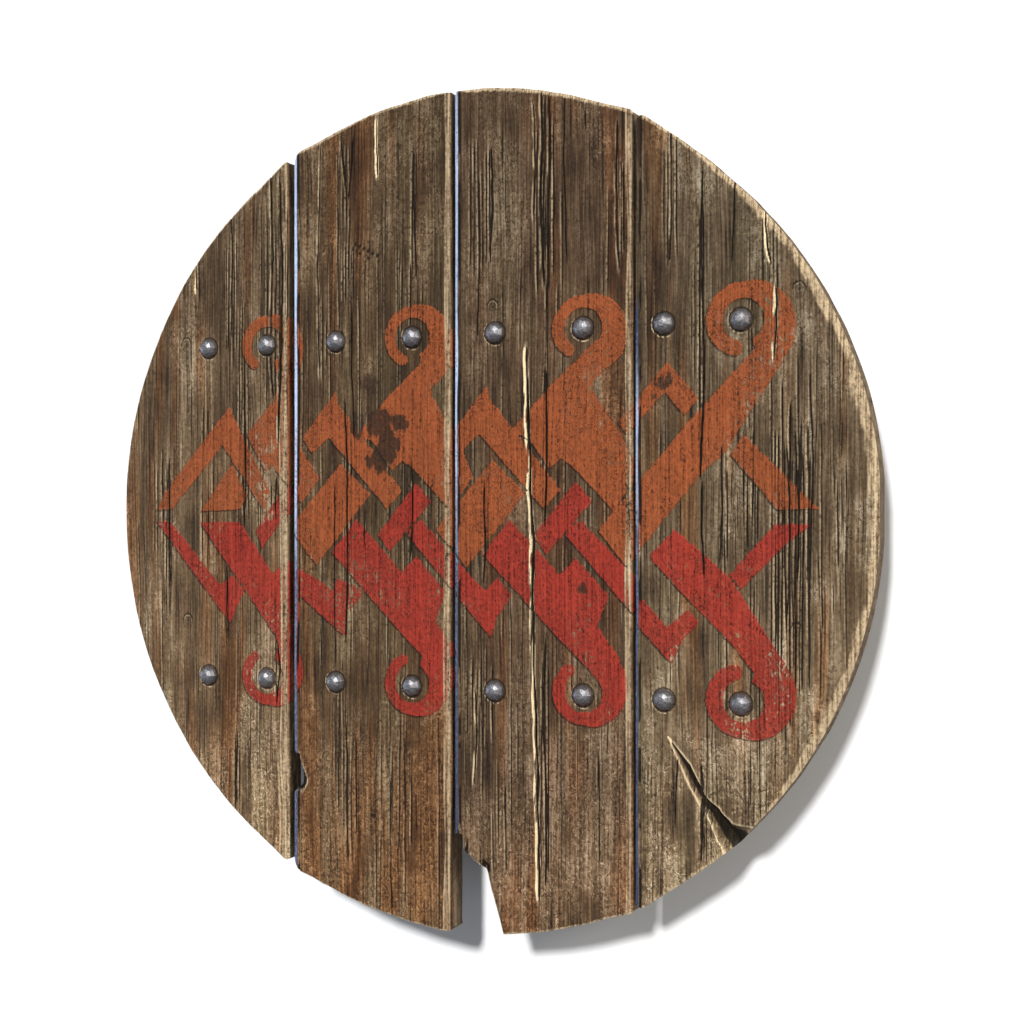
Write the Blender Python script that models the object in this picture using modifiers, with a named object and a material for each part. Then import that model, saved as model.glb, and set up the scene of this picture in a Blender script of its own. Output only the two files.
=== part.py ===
"""Round wooden shield: four thick planks riveted to two battens, with a board grip across the back.

The shield lies on its back. +Z points out of the painted face, +Y runs up along the planks,
+X runs to the right as the face is seen. The origin is under the middle, at the lowest surface.
Lengths are in metres.
"""

import math

import bmesh
import bpy
from mathutils import Matrix, Vector

# Round outline
SHIELD_RADIUS = 0.375
PLANK_THICKNESS = 0.0255
RIM_STEP = math.radians(3.0)

# Joints between the planks: the middle of each gap, and its width
LEFT_JOINT_X = -0.1798
LEFT_JOINT_GAP = 0.006
MIDDLE_JOINT_X = -0.0071
MIDDLE_JOINT_GAP = 0.0032
RIGHT_JOINT_X = 0.1665
RIGHT_JOINT_GAP = 0.0024

# How far the ends of a plank stand out past the round outline
LEFT_PLANK_PROUD = 0.0
MID_LEFT_PLANK_PROUD = 0.0014
MID_RIGHT_PLANK_PROUD = 0.0006
RIGHT_PLANK_PROUD = 0.0

# Worn edges of the face
JOINT_RIGHT_WEAR = 0.004
JOINT_LEFT_WEAR = 0.003
RIM_WEAR = 0.003
RIGHT_PLANK_RIM_WEAR = 0.007
CORNER_WEAR = 0.005
WEAR_SEGMENTS = 2

# Places of the rivets on each plank, from its left end and from its right end on the rivet row
LEFT_PLANK_RIVETS = (0.0668, 0.0231)
MID_LEFT_PLANK_RIVETS = (0.0477, 0.0395)
MID_RIGHT_PLANK_RIVETS = (0.0413, 0.0451)
RIGHT_PLANK_RIVETS = (0.0264, 0.0788)
RIVET_ROW_Y = 0.158

# Rivets with eight-sided heads, and the roves that they are closed over
RIVET_SIDES = 8
HEAD_RADIUS = 0.0096
HEAD_HEIGHT = 0.0072
HEAD_FACETS = ((0.36, 0.93), (0.72, 0.66), (0.95, 0.28))
SHANK_RADIUS = 0.0035
SHANK_CLEARANCE = 0.0006
ROVE_RADIUS = 0.009
ROVE_THICKNESS = 0.002
PEEN_RADIUS = 0.0056
PEEN_HEIGHT = 0.0022
PEEN_FACET = (0.80, 0.70)

# Battens behind the rivet rows
BATTEN_WIDTH = 0.052
BATTEN_DEPTH = 0.030
BATTEN_END_INSET = 0.040
BATTEN_CHAMFER = 0.003

# Board grip across both battens
GRIP_THICKNESS = 0.024
GRIP_WAIST_WIDTH = 0.036
GRIP_EDGE_MARGIN = 0.016
GRIP_END_OVERHANG = 0.004
GRIP_ROUNDING = 0.005
GRIP_SWEEP_STEPS = 6
ROVE_SEAT_MARGIN = 0.0015
ROVE_SEAT_DEPTH = 0.0056

# Broken corner at the foot of the middle right plank, from its left edge and from its lowest point
NOTCH_TOP = 0.086
NOTCH_STEP = (0.0156, 0.069)
NOTCH_LEDGE = (0.0316, 0.060)
NOTCH_FOOT_WIDTH = 0.0476

# Chip in the left edge of the middle left plank, round its deepest point
CHIP_Y = -0.250
CHIP_WIDTH = 0.0148
CHIP_RISE = 0.022
CHIP_FALL = 0.012
CHIP_DEPTH = 0.012
CHIP_FOOT_FALL = 0.010

# Split running in from the rim of the right plank: narrow from its tip to its bend, then wide
SPLIT_RIM_ANGLE = math.radians(-46.5)
SPLIT_HEADING = math.radians(125.0)
SPLIT_WIDE_LENGTH = 0.045
SPLIT_NARROW_LENGTH = 0.056
SPLIT_MOUTH_WIDTH = 0.029
SPLIT_BEND_WIDTH = 0.008
SPLIT_MOUTH_DEPTH = 0.019
SPLIT_BEND_DEPTH = 0.011

# Drying crack along the middle right plank, which drifts away from its left edge on the way down
CRACK_FROM_LEFT = 0.0706
CRACK_DRIFT = 0.011
CRACK_SWAY = 0.0015
CRACK_SWAYS = 2.5
CRACK_TOP = 0.130
CRACK_FOOT = -0.335
CRACK_POINTS = 9
CRACK_WIDTH = 0.0028
CRACK_DEPTH = 0.0035
CRACK_END_SHARE = 0.15

# Room between pieces that touch, and how far a cutter runs past what it cuts
FIT_GAP = 0.0003
CUT_PAST = 0.004

# Heights of the faces, from the floor up
GRIP_TOP = GRIP_THICKNESS
BATTEN_BACK = GRIP_TOP + FIT_GAP
BATTEN_FRONT = BATTEN_BACK + BATTEN_DEPTH
PLANK_BACK = BATTEN_FRONT + FIT_GAP
PLANK_FACE = PLANK_BACK + PLANK_THICKNESS
HEAD_SEAT = PLANK_FACE + FIT_GAP
ROVE_SEAT = ROVE_SEAT_DEPTH

# Faces that meet at less than this are shaded as one curved surface
SMOOTH_BELOW = math.radians(25.0)


def clear_scene():
    for obj in list(bpy.data.objects):
        bpy.data.objects.remove(obj, do_unlink=True)


def new_collection(name):
    collection = bpy.data.collections.new(name)
    bpy.context.scene.collection.children.link(collection)
    return collection


def new_material(name, colour, roughness, metallic=0.0):
    material = bpy.data.materials.new(name)
    material.use_nodes = True
    shader = material.node_tree.nodes["Principled BSDF"]
    shader.inputs["Base Color"].default_value = (*colour, 1.0)
    shader.inputs["Roughness"].default_value = roughness
    shader.inputs["Metallic"].default_value = metallic
    return material


def new_object(name, mesh, collection, material=None):
    obj = bpy.data.objects.new(name, mesh)
    collection.objects.link(obj)
    if material:
        mesh.materials.clear()
        mesh.materials.append(material)
    return obj


def finish_mesh(bm, name):
    """The mesh with its faces outwards, smooth wherever it only curves gently."""
    bmesh.ops.recalc_face_normals(bm, faces=bm.faces)
    mesh = bpy.data.meshes.new(name)
    bm.to_mesh(mesh)
    bm.free()
    mesh.shade_smooth()
    mesh.set_sharp_from_angle(angle=SMOOTH_BELOW)
    return mesh


def slab(name, outline, bottom, top):
    """A flat plate with the given outline, seen from above, between two heights."""
    bm = bmesh.new()
    face = bm.faces.new([bm.verts.new((x, y, bottom)) for x, y in outline])
    grown = bmesh.ops.extrude_face_region(bm, geom=[face])
    raised = [item for item in grown["geom"] if isinstance(item, bmesh.types.BMVert)]
    bmesh.ops.translate(bm, verts=raised, vec=(0.0, 0.0, top - bottom))
    return finish_mesh(bm, name)


def cylinders(name, centres, radius, bottom, top):
    """Upright posts with as many sides as a rivet, one at each centre, as one mesh."""
    bm = bmesh.new()
    for x, y in centres:
        bmesh.ops.create_cone(
            bm,
            cap_ends=True,
            segments=RIVET_SIDES,
            radius1=radius,
            radius2=radius,
            depth=top - bottom,
            matrix=Matrix.Translation((x, y, (bottom + top) / 2)),
        )
    return finish_mesh(bm, name)


def groove(name, points, widths, depths):
    """A V-shaped channel in the face along a path, for cutting; its top stands past the face."""
    bm = bmesh.new()
    rings = []
    for index, point in enumerate(points):
        before = points[max(index - 1, 0)]
        after = points[min(index + 1, len(points) - 1)]
        along = (after - before).normalized()
        across = Vector((-along.y, along.x))
        spread = widths[index] / 2 * (1 + CUT_PAST / depths[index])
        left = point + across * spread
        right = point - across * spread
        corners = (
            (left.x, left.y, PLANK_FACE + CUT_PAST),
            (right.x, right.y, PLANK_FACE + CUT_PAST),
            (point.x, point.y, PLANK_FACE - depths[index]),
        )
        rings.append([bm.verts.new(corner) for corner in corners])
    for near, far in zip(rings, rings[1:]):
        for side in range(3):
            other = (side + 1) % 3
            bm.faces.new((near[side], near[other], far[other], far[side]))
    bm.faces.new(rings[0])
    bm.faces.new(rings[-1])
    return finish_mesh(bm, name)


def add_cut(obj, cutter):
    cut = obj.modifiers.new(cutter.name, "BOOLEAN")
    cut.operation = "DIFFERENCE"
    cut.solver = "EXACT"
    cut.object = cutter


def new_cutter(mesh, collection):
    cutter = new_object(mesh.name, mesh, collection)
    cutter.hide_render = True
    cutter.display_type = "WIRE"
    return cutter


def plank_edges():
    """The left and right edge of each plank, None where the plank ends at the rim."""
    joints = (
        (LEFT_JOINT_X, LEFT_JOINT_GAP),
        (MIDDLE_JOINT_X, MIDDLE_JOINT_GAP),
        (RIGHT_JOINT_X, RIGHT_JOINT_GAP),
    )
    lefts = [None] + [x + gap / 2 for x, gap in joints]
    rights = [x - gap / 2 for x, gap in joints] + [None]
    return list(zip(lefts, rights))


def half_chord(radius, y):
    return math.sqrt(radius**2 - y**2)


def rivet_columns():
    """The x of every rivet column, from left to right."""
    insets = (
        LEFT_PLANK_RIVETS,
        MID_LEFT_PLANK_RIVETS,
        MID_RIGHT_PLANK_RIVETS,
        RIGHT_PLANK_RIVETS,
    )
    reach = half_chord(SHIELD_RADIUS, RIVET_ROW_Y)
    columns = []
    for (left, right), (from_left, from_right) in zip(plank_edges(), insets):
        columns.append((-reach if left is None else left) + from_left)
        columns.append((reach if right is None else right) - from_right)
    return columns


def grip_columns(columns):
    """The two rivet columns beside the middle joint, which also hold the grip."""
    middle = len(columns) // 2
    return columns[middle - 1 : middle + 1]


def arc(radius, start, end):
    """Points of a circle round the origin, from one angle to another, both ends included."""
    steps = max(2, round(abs(end - start) / RIM_STEP))
    angles = [start + (end - start) * step / steps for step in range(steps + 1)]
    return [(radius * math.cos(angle), radius * math.sin(angle)) for angle in angles]


def plank_outline(left, right, radius):
    """The plank seen from above: one or two stretches of rim, joined by straight edges."""
    if left is None:
        corner = math.acos(right / radius)
        return arc(radius, corner, math.tau - corner)
    if right is None:
        corner = math.acos(left / radius)
        return arc(radius, -corner, corner)
    left_corner = math.acos(left / radius)
    right_corner = math.acos(right / radius)
    return arc(radius, -left_corner, -right_corner) + arc(radius, right_corner, left_corner)


def weigh_worn_edges(mesh, left, right, rim_wear):
    """Gives each edge of the face, and each upright corner, its share of the widest wear."""
    widest = max(JOINT_LEFT_WEAR, JOINT_RIGHT_WEAR, RIM_WEAR, RIGHT_PLANK_RIM_WEAR, CORNER_WEAR)
    weights = mesh.attributes.new("bevel_weight_edge", "FLOAT", "EDGE")
    for edge in mesh.edges:
        ends = [mesh.vertices[index].co for index in edge.vertices]
        on_left = left is not None and all(math.isclose(end.x, left, abs_tol=FIT_GAP) for end in ends)
        on_right = right is not None and all(math.isclose(end.x, right, abs_tol=FIT_GAP) for end in ends)
        on_face = all(end.z > PLANK_FACE - FIT_GAP for end in ends)
        upright = abs(ends[0].z - ends[1].z) > PLANK_THICKNESS / 2
        if upright and (on_left or on_right):
            wear = CORNER_WEAR
        elif not on_face:
            wear = 0.0
        elif on_left:
            wear = JOINT_LEFT_WEAR
        elif on_right:
            wear = JOINT_RIGHT_WEAR
        else:
            wear = rim_wear
        weights.data[edge.index].value = wear / widest
    return widest


def make_plank(name, edges, proud, rim_wear, cutters, collection, material):
    left, right = edges
    outline = plank_outline(left, right, SHIELD_RADIUS + proud)
    mesh = slab(name, outline, PLANK_BACK, PLANK_FACE)
    widest = weigh_worn_edges(mesh, left, right, rim_wear)
    plank = new_object(name, mesh, collection, material)
    bevel = plank.modifiers.new("worn edges", "BEVEL")
    bevel.limit_method = "WEIGHT"
    bevel.width = widest
    bevel.segments = WEAR_SEGMENTS
    for cutter in cutters:
        add_cut(plank, cutter)
    return plank


def notch_cutter(left, radius, collection):
    """The broken corner: down from the plank's left edge, across a ledge and out at the rim."""
    foot = -radius
    outline = [
        (left - CUT_PAST, foot - CUT_PAST),
        (left + NOTCH_FOOT_WIDTH, foot - CUT_PAST),
        (left + NOTCH_LEDGE[0], foot + NOTCH_LEDGE[1]),
        (left + NOTCH_STEP[0], foot + NOTCH_STEP[1]),
        (left, foot + NOTCH_TOP),
        (left - CUT_PAST, foot + NOTCH_TOP),
    ]
    mesh = slab("notch", outline, PLANK_BACK - CUT_PAST, PLANK_FACE + CUT_PAST)
    return new_cutter(mesh, collection)


def chip_cutter(left, collection):
    outline = [
        (left - CUT_PAST, CHIP_Y - CHIP_FALL),
        (left, CHIP_Y - CHIP_FALL),
        (left + CHIP_WIDTH / 2, CHIP_Y - CHIP_FOOT_FALL),
        (left + CHIP_WIDTH, CHIP_Y),
        (left + CHIP_WIDTH / 2, CHIP_Y + CHIP_RISE / 2),
        (left, CHIP_Y + CHIP_RISE),
        (left - CUT_PAST, CHIP_Y + CHIP_RISE),
    ]
    mesh = slab("chip", outline, PLANK_FACE - CHIP_DEPTH, PLANK_FACE + CUT_PAST)
    return new_cutter(mesh, collection)


def split_cutter(radius, collection):
    """The split is a hairline at its tip, opens slowly to its bend, then wide to the rim."""
    mouth = Vector((math.cos(SPLIT_RIM_ANGLE), math.sin(SPLIT_RIM_ANGLE))) * radius
    inward = Vector((math.cos(SPLIT_HEADING), math.sin(SPLIT_HEADING)))
    bend = mouth + inward * SPLIT_WIDE_LENGTH
    tip = bend + inward * SPLIT_NARROW_LENGTH
    past_rim = mouth - inward * SPLIT_MOUTH_WIDTH
    opening = SPLIT_MOUTH_WIDTH - SPLIT_BEND_WIDTH
    widths = [FIT_GAP, SPLIT_BEND_WIDTH, SPLIT_MOUTH_WIDTH, SPLIT_MOUTH_WIDTH + opening]
    depths = [FIT_GAP, SPLIT_BEND_DEPTH, SPLIT_MOUTH_DEPTH, SPLIT_MOUTH_DEPTH]
    return new_cutter(groove("split", [tip, bend, mouth, past_rim], widths, depths), collection)


def crack_cutter(left, collection):
    """A crack that wanders along the grain and dies out at both ends."""
    points = []
    widths = []
    depths = []
    for index in range(CRACK_POINTS):
        share = index / (CRACK_POINTS - 1)
        sway = CRACK_SWAY * math.sin(CRACK_SWAYS * share * math.tau)
        x = left + CRACK_FROM_LEFT + CRACK_DRIFT * share + sway
        y = CRACK_TOP + (CRACK_FOOT - CRACK_TOP) * share
        body = max(CRACK_END_SHARE, math.sqrt(math.sin(share * math.pi)))
        points.append(Vector((x, y)))
        widths.append(CRACK_WIDTH * body)
        depths.append(CRACK_DEPTH * body)
    return new_cutter(groove("crack", points, widths, depths), collection)


def rivet_profile(name, back):
    """Half the outline of a rivet, from the top of its head down to the peened tail."""
    rove_back = back - 2 * FIT_GAP - ROVE_THICKNESS
    facets = [(HEAD_RADIUS * out, HEAD_SEAT + HEAD_HEIGHT * up) for out, up in HEAD_FACETS]
    outline = [
        (0.0, HEAD_SEAT + HEAD_HEIGHT),
        *facets,
        (HEAD_RADIUS, HEAD_SEAT),
        (SHANK_RADIUS, HEAD_SEAT),
        (SHANK_RADIUS, rove_back),
        (PEEN_RADIUS, rove_back),
        (PEEN_RADIUS * PEEN_FACET[0], rove_back - PEEN_HEIGHT * PEEN_FACET[1]),
        (0.0, rove_back - PEEN_HEIGHT),
    ]
    return profile_mesh(name, outline, closed=False)


def rove_profile(name, back):
    """A flat ring round the shank, against the surface at the given height."""
    front = back - FIT_GAP
    inner = SHANK_RADIUS + SHANK_CLEARANCE
    outline = [
        (inner, front),
        (ROVE_RADIUS, front),
        (ROVE_RADIUS, front - ROVE_THICKNESS),
        (inner, front - ROVE_THICKNESS),
    ]
    return profile_mesh(name, outline, closed=True)


def profile_mesh(name, outline, closed):
    mesh = bpy.data.meshes.new(name)
    edges = [(index, index + 1) for index in range(len(outline) - 1)]
    if closed:
        edges.append((len(outline) - 1, 0))
    mesh.from_pydata([(radius, 0.0, z) for radius, z in outline], edges, [])
    return mesh


def make_turned(name, mesh, x, y, collection, material):
    obj = new_object(name, mesh, collection, material)
    obj.location = (x, y, 0.0)
    screw = obj.modifiers.new("turn", "SCREW")
    screw.steps = RIVET_SIDES
    screw.render_steps = RIVET_SIDES
    screw.use_smooth_shade = False
    screw.use_merge_vertices = True
    screw.merge_threshold = 0.00001
    return obj


def make_rivets(columns, collection, steel, iron):
    seats = {False: BATTEN_BACK, True: ROVE_SEAT}
    rivets = {deep: rivet_profile("rivet profile", back) for deep, back in seats.items()}
    roves = {deep: rove_profile("rove profile", back) for deep, back in seats.items()}
    for row, side in (("upper", 1), ("lower", -1)):
        for index, x in enumerate(columns):
            deep = x in grip_columns(columns)
            y = side * RIVET_ROW_Y
            make_turned(f"rivet_{row}_{index + 1}", rivets[deep], x, y, collection, steel)
            make_turned(f"rove_{row}_{index + 1}", roves[deep], x, y, collection, iron)


def make_batten(name, side, holes, collection, material):
    half_length = half_chord(SHIELD_RADIUS, RIVET_ROW_Y) - BATTEN_END_INSET
    size = Vector((half_length * 2, BATTEN_WIDTH, BATTEN_DEPTH))
    centre = Vector((0.0, side * RIVET_ROW_Y, (BATTEN_BACK + BATTEN_FRONT) / 2))
    bm = bmesh.new()
    place = Matrix.Translation(centre) @ Matrix.Diagonal(size).to_4x4()
    bmesh.ops.create_cube(bm, size=1.0, matrix=place)
    batten = new_object(name, finish_mesh(bm, name), collection, material)
    bevel = batten.modifiers.new("chamfer", "BEVEL")
    bevel.width = BATTEN_CHAMFER
    bevel.segments = 1
    add_cut(batten, holes)
    return batten


def grip_outline(columns):
    """Broad ends over the battens, swept in to a narrow waist for the hand."""
    left, right = grip_columns(columns)
    middle = (left + right) / 2
    end_half = (right - left) / 2 + GRIP_EDGE_MARGIN
    end = RIVET_ROW_Y + BATTEN_WIDTH / 2 + GRIP_END_OVERHANG
    shoulder = RIVET_ROW_Y - BATTEN_WIDTH / 2 - GRIP_END_OVERHANG
    sweep = end_half - GRIP_WAIST_WIDTH / 2
    quarter = [(end_half, end)]
    for step in range(GRIP_SWEEP_STEPS + 1):
        angle = math.pi / 2 * (1 + step / GRIP_SWEEP_STEPS)
        quarter.append((end_half + sweep * math.cos(angle), shoulder - sweep + sweep * math.sin(angle)))
    right_side = quarter + [(x, -y) for x, y in reversed(quarter)]
    left_side = [(-x, -y) for x, y in right_side]
    return [(middle + x, y) for x, y in right_side + left_side]


def make_grip(columns, holes, collection, cutters, material):
    mesh = slab("grip", grip_outline(columns), 0.0, GRIP_TOP)
    grip = new_object("grip", mesh, collection, material)
    bevel = grip.modifiers.new("rounding", "BEVEL")
    bevel.width = GRIP_ROUNDING
    bevel.segments = 2
    bevel.limit_method = "ANGLE"
    centres = [(x, side * RIVET_ROW_Y) for x in grip_columns(columns) for side in (1, -1)]
    seat_radius = ROVE_RADIUS + ROVE_SEAT_MARGIN
    seats = cylinders("rove seats", centres, seat_radius, -CUT_PAST, ROVE_SEAT)
    add_cut(grip, holes)
    add_cut(grip, new_cutter(seats, cutters))
    return grip


def main():
    clear_scene()
    shield = new_collection("round shield")
    cutters = new_collection("cutters")
    columns = rivet_columns()
    centres = [(x, side * RIVET_ROW_Y) for x in columns for side in (1, -1)]
    hole_radius = SHANK_RADIUS + SHANK_CLEARANCE
    hole_mesh = cylinders("rivet holes", centres, hole_radius, -CUT_PAST, PLANK_FACE + CUT_PAST)
    holes = new_cutter(hole_mesh, cutters)
    edges = plank_edges()
    mid_left_edge = edges[1][0]
    mid_right_edge = edges[2][0]
    mid_right_radius = SHIELD_RADIUS + MID_RIGHT_PLANK_PROUD
    chip = chip_cutter(mid_left_edge, cutters)
    notch = notch_cutter(mid_right_edge, mid_right_radius, cutters)
    crack = crack_cutter(mid_right_edge, cutters)
    split = split_cutter(SHIELD_RADIUS + RIGHT_PLANK_PROUD, cutters)
    wood_left = new_material("left plank wood", (0.125, 0.098, 0.066), 0.8)
    wood_mid_left = new_material("middle left plank wood", (0.115, 0.088, 0.058), 0.8)
    wood_mid_right = new_material("middle right plank wood", (0.098, 0.074, 0.056), 0.8)
    wood_right = new_material("right plank wood", (0.120, 0.095, 0.066), 0.8)
    batten_wood = new_material("batten wood", (0.110, 0.082, 0.052), 0.82)
    grip_wood = new_material("grip wood", (0.150, 0.108, 0.065), 0.6)
    steel = new_material("rivet steel", (0.20, 0.20, 0.23), 0.45, 1.0)
    iron = new_material("rove iron", (0.13, 0.12, 0.12), 0.6, 1.0)
    make_plank("plank_left", edges[0], LEFT_PLANK_PROUD, RIM_WEAR, [holes], shield, wood_left)
    make_plank(
        "plank_mid_left",
        edges[1],
        MID_LEFT_PLANK_PROUD,
        RIM_WEAR,
        [holes, chip],
        shield,
        wood_mid_left,
    )
    make_plank(
        "plank_mid_right",
        edges[2],
        MID_RIGHT_PLANK_PROUD,
        RIM_WEAR,
        [holes, notch, crack],
        shield,
        wood_mid_right,
    )
    make_plank(
        "plank_right",
        edges[3],
        RIGHT_PLANK_PROUD,
        RIGHT_PLANK_RIM_WEAR,
        [holes, split],
        shield,
        wood_right,
    )
    make_batten("batten_upper", 1, holes, shield, batten_wood)
    make_batten("batten_lower", -1, holes, shield, batten_wood)
    make_grip(columns, holes, shield, cutters, grip_wood)
    make_rivets(columns, shield, steel, iron)


main()
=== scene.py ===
# Looks of the round plank shield, built round its fixed frame.
# The shield lies on its back: +Z out of the painted face, +Y up along the planks, +X to the right.
# The frame is in metres. Tables and relief below are in millimetres, in the same places.

import math
from typing import NamedTuple

import bpy
import numpy as np
from mathutils import Matrix, Vector


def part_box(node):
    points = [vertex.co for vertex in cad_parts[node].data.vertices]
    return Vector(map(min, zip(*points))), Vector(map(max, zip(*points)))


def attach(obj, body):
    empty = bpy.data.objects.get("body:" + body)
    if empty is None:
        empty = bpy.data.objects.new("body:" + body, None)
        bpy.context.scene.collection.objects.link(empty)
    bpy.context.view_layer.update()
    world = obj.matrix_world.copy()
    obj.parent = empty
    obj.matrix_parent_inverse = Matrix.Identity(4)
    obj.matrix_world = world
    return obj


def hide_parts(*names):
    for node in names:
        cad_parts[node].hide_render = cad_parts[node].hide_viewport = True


bl_info = {
    "name": "Round plank shield",
    "version": (1, 0, 0),
    "blender": (4, 5, 0),
    "location": "View3D > Sidebar > Shield",
    "description": "Builds the weathered planks, painted band, rivets and back of a round shield",
    "category": "Object",
}

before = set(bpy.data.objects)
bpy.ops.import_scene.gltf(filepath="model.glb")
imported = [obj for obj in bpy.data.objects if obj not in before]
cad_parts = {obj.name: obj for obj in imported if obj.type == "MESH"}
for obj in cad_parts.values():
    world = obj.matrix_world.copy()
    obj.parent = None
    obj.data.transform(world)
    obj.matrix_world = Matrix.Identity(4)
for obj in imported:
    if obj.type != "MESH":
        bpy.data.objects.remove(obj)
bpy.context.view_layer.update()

MM = 0.001
BODY = "root"
RIVET_ROWS = ("upper", "lower")
RIVETS_IN_ROW = 8

# Heights of the planks and the rim that they fill, from the frame
PLANK_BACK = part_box("plank_left")[0].z
PLANK_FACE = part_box("plank_left")[1].z
PLANK_DEPTH = (PLANK_FACE - PLANK_BACK) / MM
RIM_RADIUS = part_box("plank_right")[1].x / MM
RIM_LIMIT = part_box("plank_mid_left")[1].y / MM


class Crack(NamedTuple):
    """A crack along the grain: its places from top to foot, width, depth, and how light its lips are."""

    points: tuple
    width: float
    depth: float
    lips: float = 0.0


class Plank(NamedTuple):
    """One plank: the seed of its grain, its rounded corners, the wear of its edges, cracks, knots and tone.

    A bundle is a group of fine grooves: its middle, top, foot, reach to either side and their number.
    The tone is a tint, how light the wood is by height, and how rusty its foot is. The painted
    sheen is how bright the painted cool highlight on the left edge is by height.
    """

    node: str
    seed: int
    corners: tuple
    right_wear: float
    left_wear: float
    cracks: tuple
    bundles: tuple
    knots: tuple
    tint: tuple
    gain: tuple
    rust: float
    painted_sheen: tuple = ((-400, 0.0), (400, 0.0))


# Long crack down the middle right plank, from top to foot
DRYING_CRACK = (
    *((66, 150), (67, 79), (69, 50), (69, 20), (73, -26)),
    *((72, -79), (74, -157), (77, -225), (76, -261), (79, -345)),
)

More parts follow.
